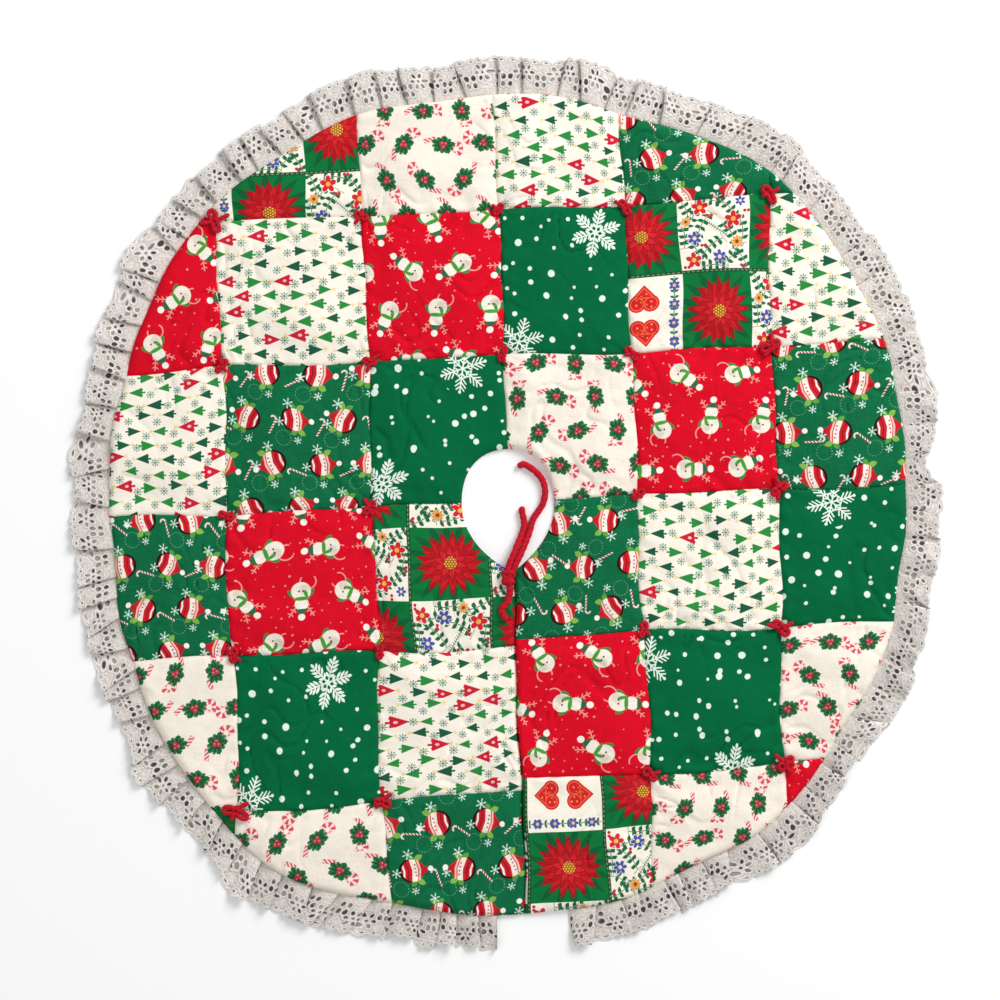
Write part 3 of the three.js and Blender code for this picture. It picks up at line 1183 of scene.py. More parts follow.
def draw_folk(g: Graph, u: Field, v: Field, _ground: Any) -> Field:
    """A check of green poinsettia cells and cream cells with flowers or hearts, ruled with stitched lines.

    Args:
        g: The cloth's node tree.
        u: The cloth's first coordinate, in millimetres.
        v: Its second.
        _ground: The ground, which the cells cover; not used.

    Returns:
        The printed colour.
    """
    long, short = 81.5, 75.0
    i, j = (u / long + 0.5).floor(), (v / short + 0.5).floor()
    at = Place(u - i * long, v - j * short, i, j)
    cream = ((i + j) % 2.0).above(0.5)
    paired = abs(j % 4.0 - 1.0).below(0.5) * (i % 2.0).below(0.5)
    cells = g.mix(paired, draw_garden(g, at), draw_hearts(g, at))
    colour = g.mix(cream, draw_poinsettia(g, at), cells)
    dash = (v * (2 * np.pi / 5.0)).sin().above(-0.2)
    beside = abs(abs(at.x) - long / 2)
    colour = g.ink(colour, beside - 1.7, "1c4d2c")
    return g.mix((beside - 0.5).fill() * dash * 0.6, colour, hexed("9fb48a"))


COTTONS = {
    Print.TREES: Cotton("f6efe0", 0.06, draw_trees),
    Print.BAUBLES: Cotton("0d6840", 0.34, draw_baubles),
    Print.FIGURES: Cotton("d60a24", 0.22, draw_figures),
    Print.SNOW: Cotton("00653a", 0.14, draw_snow),
    Print.HOLLY: Cotton("f3eadc", 0.12, draw_holly),
    Print.FOLK: Cotton("f3ead9", 0.07, draw_folk),
}


# ------------------------------------------------------------------ plain finishes
@dataclass(frozen=True)
class PlainCloth:
    """Unprinted cotton or batting: a soft uneven weave in one shade.

    Attributes:
        colour: Its hexadecimal colour.
    """

    colour: str

    def material(self, name: str) -> bpy.types.Material:
        """The material of this name.

        Args:
            name: The material's name.

        Returns:
            The material.
        """
        g = Graph(name)
        u, v = g.cloth_place()
        threads = g.threads(u, v, 3.0, 0.2)
        tone = threads * 0.12 + (g.noise(u, v, 0.01, 2.0) - 0.5) * 0.1 + 1.0
        g.set(Base_Color=g.shaded(hexed(self.colour), tone), Roughness=0.9, Sheen_Weight=0.1, Specular_IOR_Level=0.2)
        g.bump(threads, 0.3 * MM, 0.6)
        return g.material


@dataclass(frozen=True)
class EyeletCotton:
    """Eyelet lace: flowers of eyelets in painted shade, ringed by raised thread, pairs of larger ones and a corded
    edge.

    U runs along the strip and V from the sewn edge, both in millimetres.

    Attributes:
        motif: The width of one flower's repeat.
        scallop: The width of one scallop.
        depth: How deep the scallops are.
        middle: How far the flowers' middles lie from the sewn edge.
    """

    motif: float = 28.2 * MM
    scallop: float = 9.4 * MM
    depth: float = 2.6 * MM
    middle: float = 24.5 * MM

    def material(self, name: str) -> bpy.types.Material:
        """The material of this name.

        Args:
            name: The material's name.

        Returns:
            The material.
        """
        g = Graph(name)
        u, v = g.cloth_place()
        depth = self.depth / MM
        tooth = repeat(u, v, self.scallop / MM, 1000.0, 0.0)
        edge = (tooth.x * (np.pi * MM / self.scallop)).cos() * depth + (LACE_WIDTH / MM - depth) - v
        cell = repeat(u, v, self.motif / MM, 1000.0, 0.0)
        bloom = Place(cell.x, v - self.middle / MM, cell.i, cell.j)
        holes = self._eyelets(cell, bloom, v).least(Place(tooth.x, edge - 4.0, cell.i, cell.j).oval(1.1, 0.7))
        ring, cord, inner = (holes - 0.8).line(0.8, 0.9), (edge - 1.1).line(1.1, 0.8), (edge - 7.0).line(0.5, 0.6)
        strand = (abs(g.noise(u, v, 0.17, 1.0) - 0.5) * 46.0 - 1.0).line(0.9, 0.8)
        raised = ring + cord + inner * 0.7 + bloom.disc(10.6).line(0.6, 0.6) * 0.8 + strand * 0.6
        raised = raised.least(1.0)
        # How dark each eyelet's painted shade is: the eyelets are not cut, and the dark stands in for shade seen
        # through a hole.
        painted_hole_darkness = ((g.noise(u, v, 0.085, 1.0) - 0.44) * 8.0).most(0.0).least(1.0)
        blots = ((g.noise(u, v, 0.42, 2.0) - 0.5) * 10.0).most(0.0).least(1.0)
        colour = g.mix(blots * 0.7, hexed("e2dad2"), hexed("c4b9b0"))
        # Painted highlight: the raised thread is painted lighter than the cloth, as where light catches it.
        colour = g.mix(raised * 0.85, colour, hexed("f3eee9"))
        # Painted shade: a darker line round each eyelet's raised ring, where the thread meets the cloth.
        colour = g.mix((holes - 1.7).line(0.35, 0.7) * 0.45, colour, hexed("9d918a"))
        # Painted shade: each eyelet is filled with a grey to a near black instead of showing the floor through it.
        gap = g.mix(painted_hole_darkness, hexed("a2968d"), hexed("352c29"))
        colour = g.mix(holes.fill(0.7) * 0.95, colour, gap)
        threads = g.threads(u, v, 2.6, 0.4)
        tone = threads * 0.16 + (g.noise(u, v, 0.02, 2.0) - 0.5) * 0.3 + 1.0
        g.set(Base_Color=g.shaded(colour, tone), Roughness=0.9, Specular_IOR_Level=0.15)
        stitch = ((u + v) * (2 * np.pi / 0.8)).sin() * 0.15 + 0.85
        crimp = g.noise(u * 0.25, v * 1.2, 0.5, 2.0)
        g.bump(raised * stitch + blots * 0.4 + threads * 0.3 + crimp * 1.2 - holes.fill(0.9) * 1.2, 0.7 * MM, 0.9)
        return g.material

    def _eyelets(self, cell: Place, bloom: Place, v: Field) -> Field:
        """The signed distance to a flower's six petals and eye, and to the two eyelets at each side of it.

        Args:
            cell: The place within a flower's repeat.
            bloom: The place from the flower's middle.
            v: The distance from the sewn edge, in millimetres.

        Returns:
            The distance.
        """
        holes = bloom.arms(6).moved(6.2, 0.0).oval(2.3, 1.5).least(bloom.disc(1.2))
        sides = Place(abs(cell.x) - self.motif / MM / 2 + 3.3, v, cell.i, cell.j)
        for dy, wide, tall in ((12.0, 2.0, 2.5), (19.5, 2.2, 2.8)):
            holes = holes.least(sides.moved(0.0, dy).turned(0.25).oval(wide, tall))
        return holes


@dataclass(frozen=True)
class WoolYarn:
    """Wool yarn: plies wound round it, with painted shade in the grooves between them and paler fuzz.

    U runs along the yarn, in millimetres, and V once round it.

    Attributes:
        gap: The painted shade's colour in the grooves between the plies.
        ply: The plies' colour.
        fuzz: The loose fibres' colour.
    """

    gap: str = "8a0515"
    ply: str = "c80f25"
    fuzz: str = "dc3041"

    def material(self, name: str) -> bpy.types.Material:
        """The material of this name.

        Args:
            name: The material's name.

        Returns:
            The material.
        """
        g = Graph(name)
        u, v = g.cloth_place()
        plies = (u * (2 * np.pi / 5.5) + v * (2 * np.pi * 3 / 100.0)).sin() * 0.5 + 0.5
        coords = g.node("ShaderNodeTexCoord", {}, {}, "Object")
        fibre = g.node("ShaderNodeTexNoise", {}, {"Vector": coords, "Scale": 1400.0, "Detail": 3.0}, "Fac")
        # Painted shade: the colour falls towards the dark gap colour in the grooves between the plies.
        colour = g.mix(plies * 0.5 + 0.35, hexed(self.gap), hexed(self.ply))
        colour = g.mix(((fibre - 0.42) * 2.2).most(0.0).least(0.8), colour, hexed(self.fuzz))
        g.set(Base_Color=colour, Roughness=0.9, Specular_IOR_Level=0.15)
        g.bump(plies * 0.45 + fibre * 0.8, 0.7 * MM, 0.9)
        return g.material


# ------------------------------------------------------------------ bodies
FLAP_NAMES = {0: "", -1: "_left_flap", 1: "_right_flap"}


def dress(
    piece: bpy.types.Object, finish: bpy.types.Material, nodes: Sequence[str] = (), side: int = 0
) -> None:
    """Gives a piece its finish and hides the CAD nodes it stands for; a piece on the root is attached to the root's
    body.

    Args:
        piece: The piece.
        finish: Its material.
        nodes: The CAD nodes that it stands for.
        side: -1 or 1 where it lies past the left or the right fold line, which only bakes its transform, 0 where it
            stays on the root.
    """
    piece.data.materials.append(finish)
    if nodes:
        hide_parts(*nodes)
    if side:
        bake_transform(piece)
    else:
        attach(piece, "root")
    LOG.info("%s: %d faces", piece.name, len(piece.data.polygons))


# ------------------------------------------------------------------ the patchwork top
@dataclass
class PatchworkTop:
    """The 35 patches, each a thin puffed sheet of printed cotton.

    Attributes:
        quilt: The surface they follow.
        cloth: The cotton's thickness, with its seams.
        step: The grid's step.
    """

    quilt: Quilt
    cloth: float = 0.5 * MM
    step: float = 2.0 * MM

    def build(self) -> None:
        """Makes and dresses every patch."""
        finishes = {p: COTTONS[p].material(f"cotton_{p.value}") for p in Print}
        for place in self.quilt.cells:
            self._patch(place, finishes)

    def _patch(self, place: str, finishes: dict[Print, bpy.types.Material]) -> None:
        """Makes one patch: a grid over its rectangle, trimmed to the outline and raised to the surface.

        Args:
            place: The patch's row letter and column number.
            finishes: The material of each print.
        """
        nodes, cell = self.quilt.nodes_of(place), self.quilt.cells[place]
        reach = self.quilt.outline.radius + 30 * MM
        left, right, front, back = np.clip(cell, -reach, reach)
        xs, ys = steps(left, right, self.step), steps(front, back, self.step)
        x, y, quads = snapped_grid(self.quilt.outline, xs, ys)
        upper = np.column_stack([*laid(x, y, self.quilt.outline), self.quilt.height(x, y, cell)])
        lower = upper - [0, 0, self.cloth]
        piece = closed_sheet(f"quilt_patch_{place}", upper, lower, quads, self._print_map(place, x, y))
        kind = Print(nodes[0].split("_")[2])
        side = next((s for s, end in FLAP_NAMES.items() if s and nodes[-1].endswith(end)), 0)
        dress(piece, finishes[kind], nodes, side)

    @staticmethod
    def _print_map(place: str, x: Array, y: Array) -> Array:
        """The print's own coordinates on a patch, in decimetres.

        Args:
            place: The patch's row letter and column number.
            x: Positions along X in the cut cloth.
            y: Positions along Y.

        Returns:
            A coordinate pair for each point.
        """
        if place in PRINT_PLACES:
            px, py, turn = PRINT_PLACES[place]
        else:
            rng = np.random.default_rng(ord(place[0]) * 31 + ord(place[1]))
            px, py, turn = *rng.uniform(-200, 200, 2), float(rng.choice([0, 0, 180]))
        c, s = np.cos(np.radians(turn)), np.sin(np.radians(turn))
        dx, dy = x - px * MM, y - py * MM
        return np.column_stack([dx * c + dy * s, dy * c - dx * s]) * 10


@dataclass
class HiddenLayers:
    """The batting and the lining, each in three pieces that meet beside the fold lines.

    Attributes:
        quilt: The surface they lie under.
        lining: The heights of the lining's lower and upper side.
        batting_foot: The batting's lower side.
        under_top: How far the batting stays below the patches.
        edge_roll: How far from a free edge the batting falls away.
        step: The grid's step.
    """

    quilt: Quilt
    lining: tuple[float, float] = (0.35 * MM, 0.95 * MM)
    batting_foot: float = 1.1 * MM
    under_top: float = 2.8 * MM
    edge_roll: float = 10 * MM
    step: float = 5.0 * MM

    def build(self) -> None:
        """Makes both layers."""
        outline = self.quilt.outline
        reach = outline.radius + 20 * MM
        xs = np.concatenate([steps(-reach, SLIT_X, self.step)[:-1], steps(SLIT_X, reach, self.step)])
        x, y, quads = snapped_grid(outline, xs, steps(-reach, reach, self.step))
        quads = self._without_slit(x, y, quads)
        xy, uv = laid(x, y, outline), np.column_stack([x, y]) * 10
        foot = self.batting_foot + 0.1 * MM
        rise = self._height(x, y) - self.under_top - foot
        layers = (
            ("batting", PlainCloth("f7f5ef").material("batting_fleece"),
             foot + rise * rounded(outline.inside(x, y) / self.edge_roll), self.batting_foot),
            ("lining", PlainCloth("efe9dd").material("lining_cotton"), self.lining[1], self.lining[0]),
        )
        for node, finish, top, bottom in layers:
            upper, lower = (np.column_stack([*xy, np.broadcast_to(z, x.shape)]) for z in (top, bottom))
            for side, zone in self._zones(x[quads].mean(axis=1), y[quads].mean(axis=1)).items():
                name = f"{node}{FLAP_NAMES[side]}"
                piece = closed_sheet(f"quilt_{name}", upper, lower, quads[zone], uv)
                dress(piece, finish, [name], side)

    @staticmethod
    def _zones(x: Array, y: Array) -> dict[int, Array]:
        """Which faces belong to the fixed part (0) and to the left (-1) and right (1) flap, by their middles.

        Args:
            x: The faces' middles along X.
            y: The same along Y.

        Returns:
            A mask over the faces for each side.
        """
        left, right = fold_side(x, y)
        front = y < FOLD_POINT[1]
        flaps = {-1: (left > -FOLD_MARGIN) & (x < SLIT_X) & front, 1: (right > -FOLD_MARGIN) & (x > SLIT_X) & front}
        return {**flaps, 0: ~(flaps[-1] | flaps[1])}

    def _height(self, x: Array, y: Array) -> Array:
        """The patches' surface over the whole disc.

        Args:
            x: Positions along X in the cut cloth.
            y: Positions along Y.

        Returns:
            The heights.
        """
        z = np.full_like(x, self.quilt.rim_height)
        for cell in self.quilt.cells.values():
            own = (x >= cell[0]) & (x <= cell[1]) & (y >= cell[2]) & (y <= cell[3])
            z[own] = self.quilt.height(x[own], y[own], cell)
        return z

    def _without_slit(self, x: Array, y: Array, quads: Array) -> Array:
        """Drops the faces beside the slit, where the cloth turns in over the edge.

        Args:
            x: Positions along X in the cut cloth.
            y: Positions along Y.
            quads: The faces.

        Returns:
            The faces that stay.
        """
        near = np.abs(x[quads] - SLIT_X).min(axis=1) < self.step / 2
        bridge = near & (y[quads].max(axis=1) < -HOLE_TIP)
        return quads[~bridge]


# ------------------------------------------------------------------ the lace
@dataclass
class Lace:
    """The gathered eyelet lace: one long strip in flat knife pleats, sewn in round the rim.

    Attributes:
        quilt: The disc that it edges.
        cotton: Its finish, which says how wide the scallops are.
        ends: How far its right and left end lie from the middle of the front.
        height: How high the pleats stand.
        thickness: The cotton's.
        rows: Points across the strip.
        step: The distance between points along it.
        dents: Where it reaches further out or less far: direction in degrees, millimetres, spread in degrees.
    """

    quilt: Quilt
    cotton: EyeletCotton = EyeletCotton()
    ends: tuple[float, float] = (46 * MM, -28 * MM)
    height: float = 6.0 * MM
    thickness: float = 0.25 * MM
    rows: int = 17
    step: float = 1.5 * MM
    dents: tuple[tuple[float, float, float], ...] = (
        (171.5, 8, 2.0), (165, -7, 2.5), (12.5, 4, 1.6), (3.6, -13, 2.6), (144, 5, 3), (90, 4, 5), (105, 6, 3),
        (213.5, 8, 3), (231.5, 8, 3), (317.5, -10, 5),
    )

    def _pleats(self, length: float) -> tuple[Array, ...]:
        """The strip's path along the rim.

        Each pleat runs forward on top, back under its own fold and forward again beneath, so the strip is
        longer than the rim. Widths, overlaps, leans and reaches vary from pleat to pleat.

        Args:
            length: The rim's length.

        Returns:
            Along the path: the place on the rim, the layer's height from 0 to 1, how far the pleat leans
            sideways at its outer edge, how far it reaches, and the strip's own length.
        """
        rng = np.random.default_rng(8)
        rows, at = [(0.0, 0.2, 0.0, 1.0)], 0.0
        while at < length:
            wide, under = rng.uniform(11, 29) * MM, rng.uniform(4, 12) * MM
            lean, reach = float(rng.normal(0, 6.5)) * MM, rng.uniform(0.84, 1.08)
            crown = rng.uniform(0.75, 1.25)
            marks = (
                (wide * 0.35, 0.5), (wide * 0.75, 0.82 * crown), (wide + under * 0.8, 1.0 * crown),
                (wide + under, 0.8 * crown), (wide + under * 0.8, 0.62 * crown), (wide + 1.2 * MM, 0.42),
                (wide, 0.3), (wide + 1.2 * MM, 0.16), (wide + under, 0.08),
            )
            rows += [(at + place, layer, lean, reach) for place, layer in marks]
            at += wide + under * rng.uniform(0.5, 0.9)
            rows.append((at + under * 0.45, 0.1, lean * 0.4, 1.0))
            at += under * 0.45
        place, layer, lean, reach = (np.array(column) for column in zip(*rows))
        place = np.minimum(place, length)
        run = np.concatenate([[0], np.cumsum(np.abs(np.diff(place)) + 0.4 * MM)])
        s = np.arange(0, run[-1], self.step)
        return (*(np.interp(s, run, column) for column in (place, layer, lean, reach)), s)

    def _surface(self) -> tuple[Array, ...]:
        """The pleated strip.

        A row runs along the pleats' path on the rim. Outwards the rows follow the rim's direction, leaning
        and fluttering with each pleat, rise with the layer, and curl a little at the scalloped edge.

        Returns:
            The flat place x and y of each point, its place on the floor, the strip's own coordinates and
            the length along the strip of each column.
        """
        outline = self.quilt.outline
        start, stop = np.arctan2(-0.44, self.ends)
        angles = np.linspace(start, stop + 2 * np.pi, 4000)
        radius = outline.rim(angles)
        rim = np.column_stack([radius * np.cos(angles), radius * np.sin(angles)])
        arc = np.concatenate([[0], np.cumsum(np.hypot(*np.diff(rim, axis=0).T))])
        place, layer, lean, reach, s = self._pleats(float(arc[-1]))
        scallop = np.abs(np.sin(np.pi * s / self.cotton.scallop))
        wide = LACE_WIDTH - self.cotton.depth * (1 - scallop)
        t, across = np.meshgrid(np.linspace(0, 1, self.rows), s, indexing="ij")
        base = np.broadcast_to(place, t.shape)
        flutter = waves(base, np.zeros_like(base), 0.024, 42) * 2.1 * MM
        angle = np.interp(base + lean * t**1.2 + flutter * t**2, arc, angles)
        dents = sum(
            far * np.exp(-(((np.degrees(angle) - turn + 180) % 360 - 180) / spread) ** 2)
            for turn, far, spread in self.dents
        )
        distance = outline.rim(angle) + t * (wide * reach + dents * MM) - 2.5 * MM * (1 - t)
        x, y = distance * np.cos(angle), distance * np.sin(angle)
        rise = 0.16 + 0.84 * rounded(t * 1.7)
        curl = 0.9 * waves(across, t * 0.02, 0.03, 45) * t
        ripple = 0.35 * waves(across, t * LACE_WIDTH, 0.011, 44) * t
        z = np.maximum(0.5 * MM + self.height * layer * rise + (curl + ripple) * MM, 0.4 * MM)
        points = np.column_stack([p.ravel() for p in (*laid(x, y, outline), z)])
        return x, y, points, np.column_stack([across.ravel(), (t * wide).ravel()]) * 10, s

    def build(self) -> None:
        """Makes the strip in three lengths, which meet beside the fold lines."""
        x, y, points, uv, s = self._surface()
        quads = grid_faces(self.rows, len(s))[:, ::-1]
        past_left, past_right = ((far > -FOLD_MARGIN).any(axis=0) for far in fold_side(x, y))
        front = y[0] < -0.3
        cut_left = np.where(past_left & front & (x[0] < 0))[0].min()
        cut_right = np.where(past_right & front & (x[0] > 0))[0].max()
        first = quads.min(axis=1) % len(s)
        finish = self.cotton.material("eyelet_lace")
        parts = {0: (first > cut_right) & (first < cut_left), -1: first >= cut_left, 1: first <= cut_right}
        for side, part in parts.items():
            node = f"lace{FLAP_NAMES[side]}"
            piece = closed_sheet(f"eyelet_{node}", points, points - [0, 0, self.thickness], quads[part], uv)
            dress(piece, finish, [node], side)


# ------------------------------------------------------------------ yarn
def smooth_path(points: Sequence[Sequence[float]], count: int) -> Array:
    """A Catmull-Rom curve through points, sampled evenly by its parameter.

    Args:
        points: The route.
        count: How many samples.

    Returns:
        The samples.
    """
    p = np.array(points, float)
    p = np.concatenate([[2 * p[0] - p[1]], p, [2 * p[-1] - p[-2]]])
    t = np.linspace(0, len(points) - 1, count)
    k = np.minimum(t.astype(int), len(points) - 2)
    f = (t - k)[:, None]
    a, b, c, d = p[k], p[k + 1], p[k + 2], p[k + 3]
    return 0.5 * (2 * b + (c - a) * f + (2 * a - 5 * b + 4 * c - d) * f**2 + (3 * b - a - 3 * c + d) * f**3)


def tube(path: Array, radius: Array | float, sides: int = 12) -> tuple[Array, Array, Array]:
    """A closed round tube along a path, its ends drawn in to a point by a quarter circle.

    Args:
        path: The middle line.
        radius: The tube's radius, one number or one for each point.
        sides: Corners round it.

    Returns:
        Points, quads and the coordinates along and round it.
    """
    step = np.hypot.reduce(np.diff(path, axis=0), axis=1)
    run = np.concatenate([[0], np.cumsum(step)])
    tangent = np.gradient(path, axis=0)
    tangent /= np.linalg.norm(tangent, axis=1)[:, None]
    side = np.cross(tangent, [0.05, 0.02, 1.0])
    side /= np.linalg.norm(side, axis=1)[:, None]
    up = np.cross(side, tangent)
    full = np.broadcast_to(np.asarray(radius, float), run.shape)
    end = np.minimum(run, run[-1] - run) / full
    size = full * np.maximum(rounded(end), 0.02)
    turn = np.linspace(0, 2 * np.pi, sides, endpoint=False)
    ring = side[:, None] * np.cos(turn)[None, :, None] + up[:, None] * np.sin(turn)[None, :, None]
    points = (path[:, None] + ring * size[:, None, None]).reshape(-1, 3)
    i, j = np.meshgrid(np.arange(len(path) - 1), np.arange(sides), indexing="ij")
    a, b = (i * sides + j).ravel(), (i * sides + (j + 1) % sides).ravel()
    quads = np.stack([a, b, b + sides, a + sides], axis=1)
    n = len(points)
    caps = []
    for first, flip in ((0, True), (n - sides, False)):
        for k in range(1, sides - 1, 2):
            ring4 = [first, first + k, first + k + 1, first + min(k + 2, sides - 1)]
            caps.append(ring4[::-1] if flip else ring4)
    uv = np.column_stack([np.repeat(run, sides) * 10, np.tile(turn / (2 * np.pi), len(path))])
    return points, np.concatenate([quads, np.array(caps)]), uv


def join(parts: Iterable[tuple[Array, Array, Array]]) -> tuple[Array, Array, Array]:
    """Several shapes as one set of points, quads and coordinates.

    Args:
        parts: Points, quads and coordinates of each shape.

    Returns:
        The same three for the joined shape.
    """
    points, quads, uvs, count = [], [], [], 0
    for p, q, w in parts:
        points.append(p)
        quads.append(q + count)
        uvs.append(w)
        count += len(p)
    return np.concatenate(points), np.concatenate(quads), np.concatenate(uvs)


def turned_about_z(path: Array, angle: float) -> Array:
    """A path turned about Z."""
    c, s = np.cos(angle), np.sin(angle)
    return np.column_stack([path[:, 0] * c - path[:, 1] * s, path[:, 0] * s + path[:, 1] * c, path[:, 2]])


@dataclass
class YarnTies:
    """The short yarn ties at the seam crossings: a knot, two loops and two cut ends each.

    Attributes:
        quilt: The surface they sit on.
        radius: The yarn's radius in a tie of size 1.
        sunk: How far a tie's foot lies below the seams.
    """

    quilt: Quilt
    radius: float = 2.15 * MM
    sunk: float = 1.6 * MM

    def build(self, finish: bpy.types.Material) -> None:
        """Makes every tie."""
        for number, (key, (x, y)) in enumerate(self.quilt.ties.items()):
            dress(self._tie(number, TIE_SIZES[key], x, y), finish)

    def _tie(self, number: int, size: float, x: float, y: float) -> bpy.types.Object:
        """Makes one tie at a seam crossing: two leaning rings for the knot, then a loop and a tail each way.

        Args:
            number: Its number, which seeds its draw.
            size: How large it is.
            x: The crossing's place along X in the cut cloth.
            y: The same along Y.

        Returns:
            The piece.
        """
        rng = np.random.default_rng(100 + number)
        px, py = (float(v[0]) for v in laid(np.array([x]), np.array([y]), self.quilt.outline))
        middle = np.array([px, py, SEAM_HEIGHT - self.sunk])
        thick = self.radius * (0.6 + 0.4 * size)
        turn = rng.uniform(0, 2 * np.pi)
        parts = []
        for lean in (0.0, 1.3):
            loop = np.linspace(0, 2 * np.pi, 20) + lean
            knot = np.column_stack([3.1 * np.cos(loop), 2.1 * np.sin(loop), 3.6 + 1.5 * np.sin(loop + lean)])
            parts.append(tube(turned_about_z(knot * MM * size, turn + lean) + middle, thick * 1.1, 10))
        for side in (0.0, np.pi):
            for arm in (self._loop(rng, size, turn + side), self._tail(rng, size, turn + side + 1.1)):
                parts.append(tube(arm + middle, thick, 10))
        return mesh_piece(f"yarn_tie_{number + 1:02d}", *join(parts))

    @staticmethod
    def _loop(rng: np.random.Generator, size: float, angle: float) -> Array:
        """A bow's loop: out from the knot, round and back to it.

        Args:
            rng: Draws its shape.
            size: How large the tie is.
            angle: Which way it leaves the knot.

        Returns:
            Its middle line.
        """
        reach, wide = rng.uniform(6.8, 10.4), rng.uniform(2.1, 3.4)
        route = [
            (0.5, -1.0, 4.4), (reach * 0.45, -wide, 5.6), (reach * 0.85, -wide * 0.8, 5.2), (reach, 0.2, 4.6),
            (reach * 0.85, wide * 0.9, 4.6), (reach * 0.4, wide * 0.9, 4.4), (0.5, 1.0, 4.0),
        ]
        return turned_about_z(smooth_path(np.array(route) * MM * size, 34), angle + rng.uniform(-0.35, 0.35))

    @staticmethod
    def _tail(rng: np.random.Generator, size: float, angle: float) -> Array:
        """A cut end, bending as it lies on the cloth.

        Args:
            rng: Draws its shape.
            size: How large the tie is.
            angle: Which way it leaves the knot.

        Returns:
            Its middle line.
        """
        reach, bend = rng.uniform(8.0, 14.5), rng.uniform(-4.5, 4.5)
        route = [
            (0.5, 0.0, 4.2), (reach * 0.4, bend * 0.15, 5.0), (reach * 0.75, bend * 0.5, 4.8), (reach, bend, 4.6),
        ]
        return turned_about_z(smooth_path(np.array(route) * MM * size, 20), angle + rng.uniform(-0.5, 0.5))


@dataclass
class ClosureTie:
    """The two yarn cords that close the slit at the trunk hole, knotted, with their loose ends.

    Attributes:
        yarn: The yarn's diameter.
        lying: The height of a cord's middle where it lies on the floor.
        riding: Its height where it lies on the quilt.
        sewn_drop: How far the sewn stretch sinks into the valley beside the slit.
    """

    yarn: float = 6 * MM
    lying: float = 3.2 * MM
    riding: float = 12.3 * MM
    sewn_drop: float = 3.0 * MM

    def _routes(self) -> dict[str, Array]:
        """The middle lines of the cords, the same as the frame's apart from the sewn stretch's drop.

        Returns:
            Each cord's points.
        """
        lying, riding = self.lying / MM, self.riding / MM
        routes = {
            "tie_cord_long": [
                (11.7, 39.7, lying), (18.7, 42.2, lying), (29.2, 35.2, lying), (36.3, 26.8, lying),
                (39.3, 18.6, lying), (39.6, 9.8, lying), (36.8, -0.3, lying), (31.6, -8.1, lying),
                (27.2, -13.9, lying), (24.6, -19.2, lying), (22.4, -26.5, lying + 0.5),
                (18.6, -36.2, lying + 2), (15.0, -44.2, lying + 5), (10.4, -53.8, riding - 1),
                (6.2, -61.4, riding), (1.6, -72.1, riding),
            ],
            "tie_cord_short": [
                (14.7, -2.0, lying), (14.5, -8.0, lying), (16.0, -16.3, lying), (15.8, -24.0, lying + 0.5),
                (12.4, -33.2, lying + 2), (8.6, -41.4, lying + 5), (4.2, -51.3, riding - 1),
                (-0.2, -60.0, riding), (-4.6, -72.0, riding),
            ],
            "tie_cord_sewn": [
                (-2.6, -78.0, riding), (-1.6, -88.7, riding), (-2.4, -94.4, riding), (-5.3, -102.5, riding),
                (-11.1, -108.8, riding), (-9.9, -115.6, riding), (-5.6, -122.0, riding),
            ],
        }
        routes = {name: np.array(route) * MM for name, route in routes.items()}
        sewn = routes["tie_cord_sewn"]
        sewn[:, 2] -= np.linspace(0.0, self.sewn_drop, len(sewn))
        return routes

    def build(self, finish: bpy.types.Material) -> None:
        """Makes the knot and the three stretches of yarn.

        Args:
            finish: The yarn's material.
        """
        dress(self._knot(), finish, ["closure_knot"])
        for name, route in self._routes().items():
            sewn = name == "tie_cord_sewn"
            path = smooth_path(route, 12 * len(route))
            length = float(np.linalg.norm(np.diff(path, axis=0), axis=1).sum())
            beads = np.sin(np.linspace(0, length / (7 * MM) * 2 * np.pi, len(path))) * 0.06
            radius = self.yarn / 2 * (beads + (1.2 if sewn else 1.14))
            piece = mesh_piece(name.replace("tie_cord", "yarn_cord"), *tube(path, radius, 14))
            dress(piece, finish, [name])

    @staticmethod
    def _knot() -> bpy.types.Object:
        """The knot: a trefoil, (sin t + 1.35 sin 2t, cos t - 1.35 cos 2t, -sin 3t), and a wrap at each end.

        Returns:
            The piece.
        """
        t = np.linspace(0, 2 * np.pi, 90)
        middle = np.array([-2.6, -76.4, 13.0]) * MM
        x, y, z = np.sin(t) + 1.35 * np.sin(2 * t), np.cos(t) - 1.35 * np.cos(2 * t), -np.sin(3 * t)
        trefoil = np.column_stack([x * 2.4, y * 3.1, z * 1.5]) * MM
        t = np.linspace(0, 2 * np.pi, 40)
        wrap = np.column_stack([5.2 * np.cos(t), 1.2 * np.sin(t), 2.6 * np.sin(t)]) * MM
        parts = [tube(trefoil + middle, 2.7 * MM, 12)]
        parts += [tube(wrap + middle + [0, along * MM, 0], 2.5 * MM, 12) for along in (4.6, -5.0)]
        return mesh_piece("yarn_closure_knot", *join(parts))


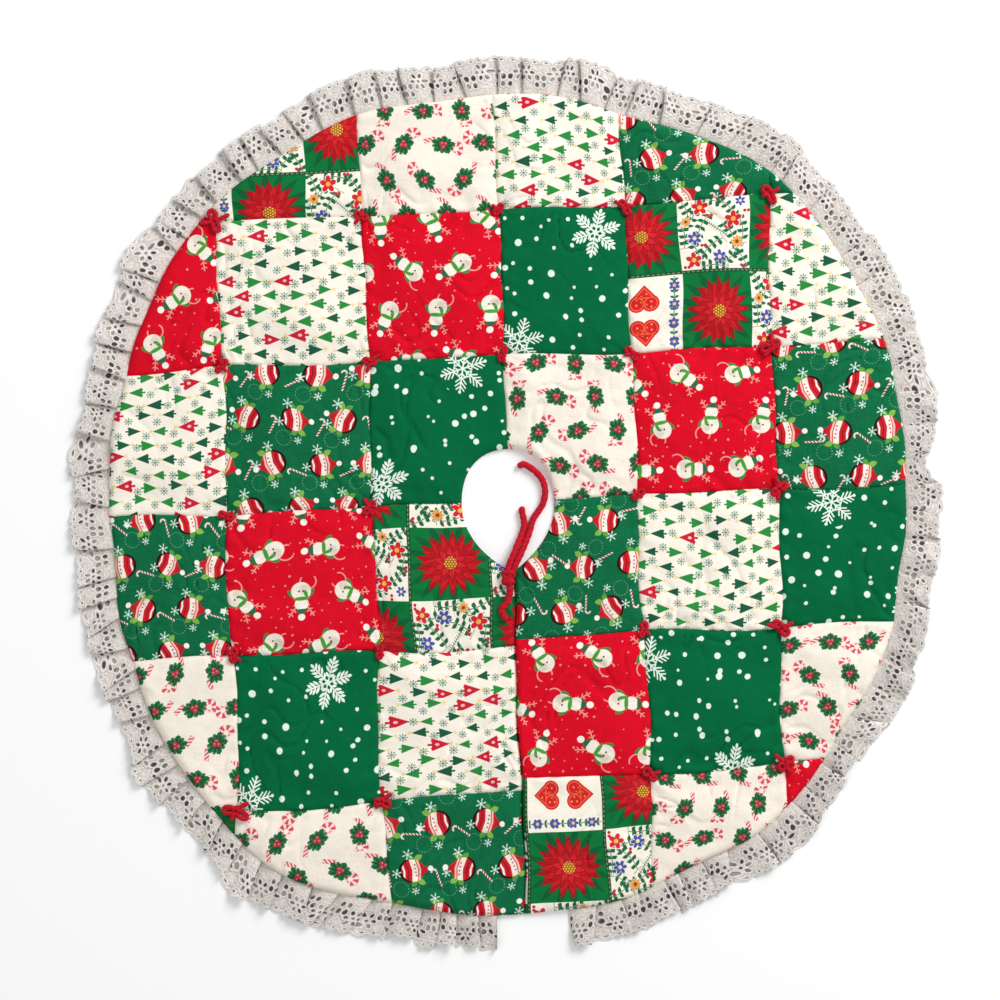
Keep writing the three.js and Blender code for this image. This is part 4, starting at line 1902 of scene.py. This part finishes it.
# ------------------------------------------------------------------ the studio
@dataclass
class Studio:
    """The floor, the lamps and the camera over the skirt.

    Attributes:
        seen: How wide a stretch of floor the camera sees.
        above: The camera's height.
        roll: How far the picture is turned.
        centre: What the camera looks down on.
        lamps: Each lamp's name, place, size and power.
        sky: The even light's strength.
    """

    seen: float = 1.058
    above: float = 3.2
    roll: float = float(np.radians(-2.4))
    centre: tuple[float, float] = (-8.3 * MM, 5.6 * MM)
    lamps: tuple[tuple[str, tuple[float, float, float], float, float], ...] = (
        ("key", (2.0, 2.0, 1.9), 1.5, 96.0), ("fill", (-2.0, -1.0, 2.6), 2.2, 14.0),
    )
    sky: float = 0.57

    def build(self) -> None:
        """Places everything."""
        self._camera()
        self._floor()
        self._lamps()
        bpy.context.scene.view_settings.view_transform = "Standard"

    def _camera(self) -> None:
        """A long lens straight above, turned so that the slit leans a little."""
        data = bpy.data.cameras.new("camera")
        data.sensor_width = 36
        data.lens = data.sensor_width * self.above / self.seen
        camera = bpy.data.objects.new("camera", data)
        camera.location = (*self.centre, self.above)
        camera.rotation_euler = (0, 0, self.roll)
        bpy.context.scene.collection.objects.link(camera)
        bpy.context.scene.camera = camera

    def _floor(self) -> None:
        """A wide white floor just under the cloth."""
        corners = np.array([(-1, -1, 0), (1, -1, 0), (1, 1, 0), (-1, 1, 0)]) * 6.0
        floor = mesh_piece("floor", corners, np.array([[0, 1, 2, 3]]))
        g = Graph("floor_white")
        g.set(Base_Color=(0.97, 0.97, 0.97, 1.0), Roughness=0.95)
        floor.data.materials.append(g.material)

    def _lamps(self) -> None:
        """One large soft lamp from the upper right, a weaker one opposite and an even sky."""
        for name, where, size, watts in self.lamps:
            data = bpy.data.lights.new(name, "AREA")
            data.size, data.energy = size, watts
            lamp = bpy.data.objects.new(name, data)
            lamp.location = where
            direction = -np.array(where) / np.linalg.norm(where)
            yaw, pitch = np.arctan2(-direction[0], direction[1]), np.arccos(-direction[2])
            lamp.rotation_euler = (pitch, 0, yaw)
            bpy.context.scene.collection.objects.link(lamp)
        world = bpy.data.worlds.new("sky")
        world.use_nodes = True
        background = world.node_tree.nodes["Background"]
        background.inputs["Color"].default_value, background.inputs["Strength"].default_value = (1, 1, 1, 1), self.sky
        bpy.context.scene.world = world


def main() -> None:
    """Builds the skirt around the frame."""
    logging.basicConfig(level=logging.INFO, format="%(message)s")
    Studio().build()
    yarn = WoolYarn().material("crimson_yarn")
    ClosureTie().build(yarn)
    quilt = Quilt()
    PatchworkTop(quilt).build()
    HiddenLayers(quilt).build()
    Lace(quilt).build()
    YarnTies(quilt).build(yarn)


if __name__ == "__main__":
    main()
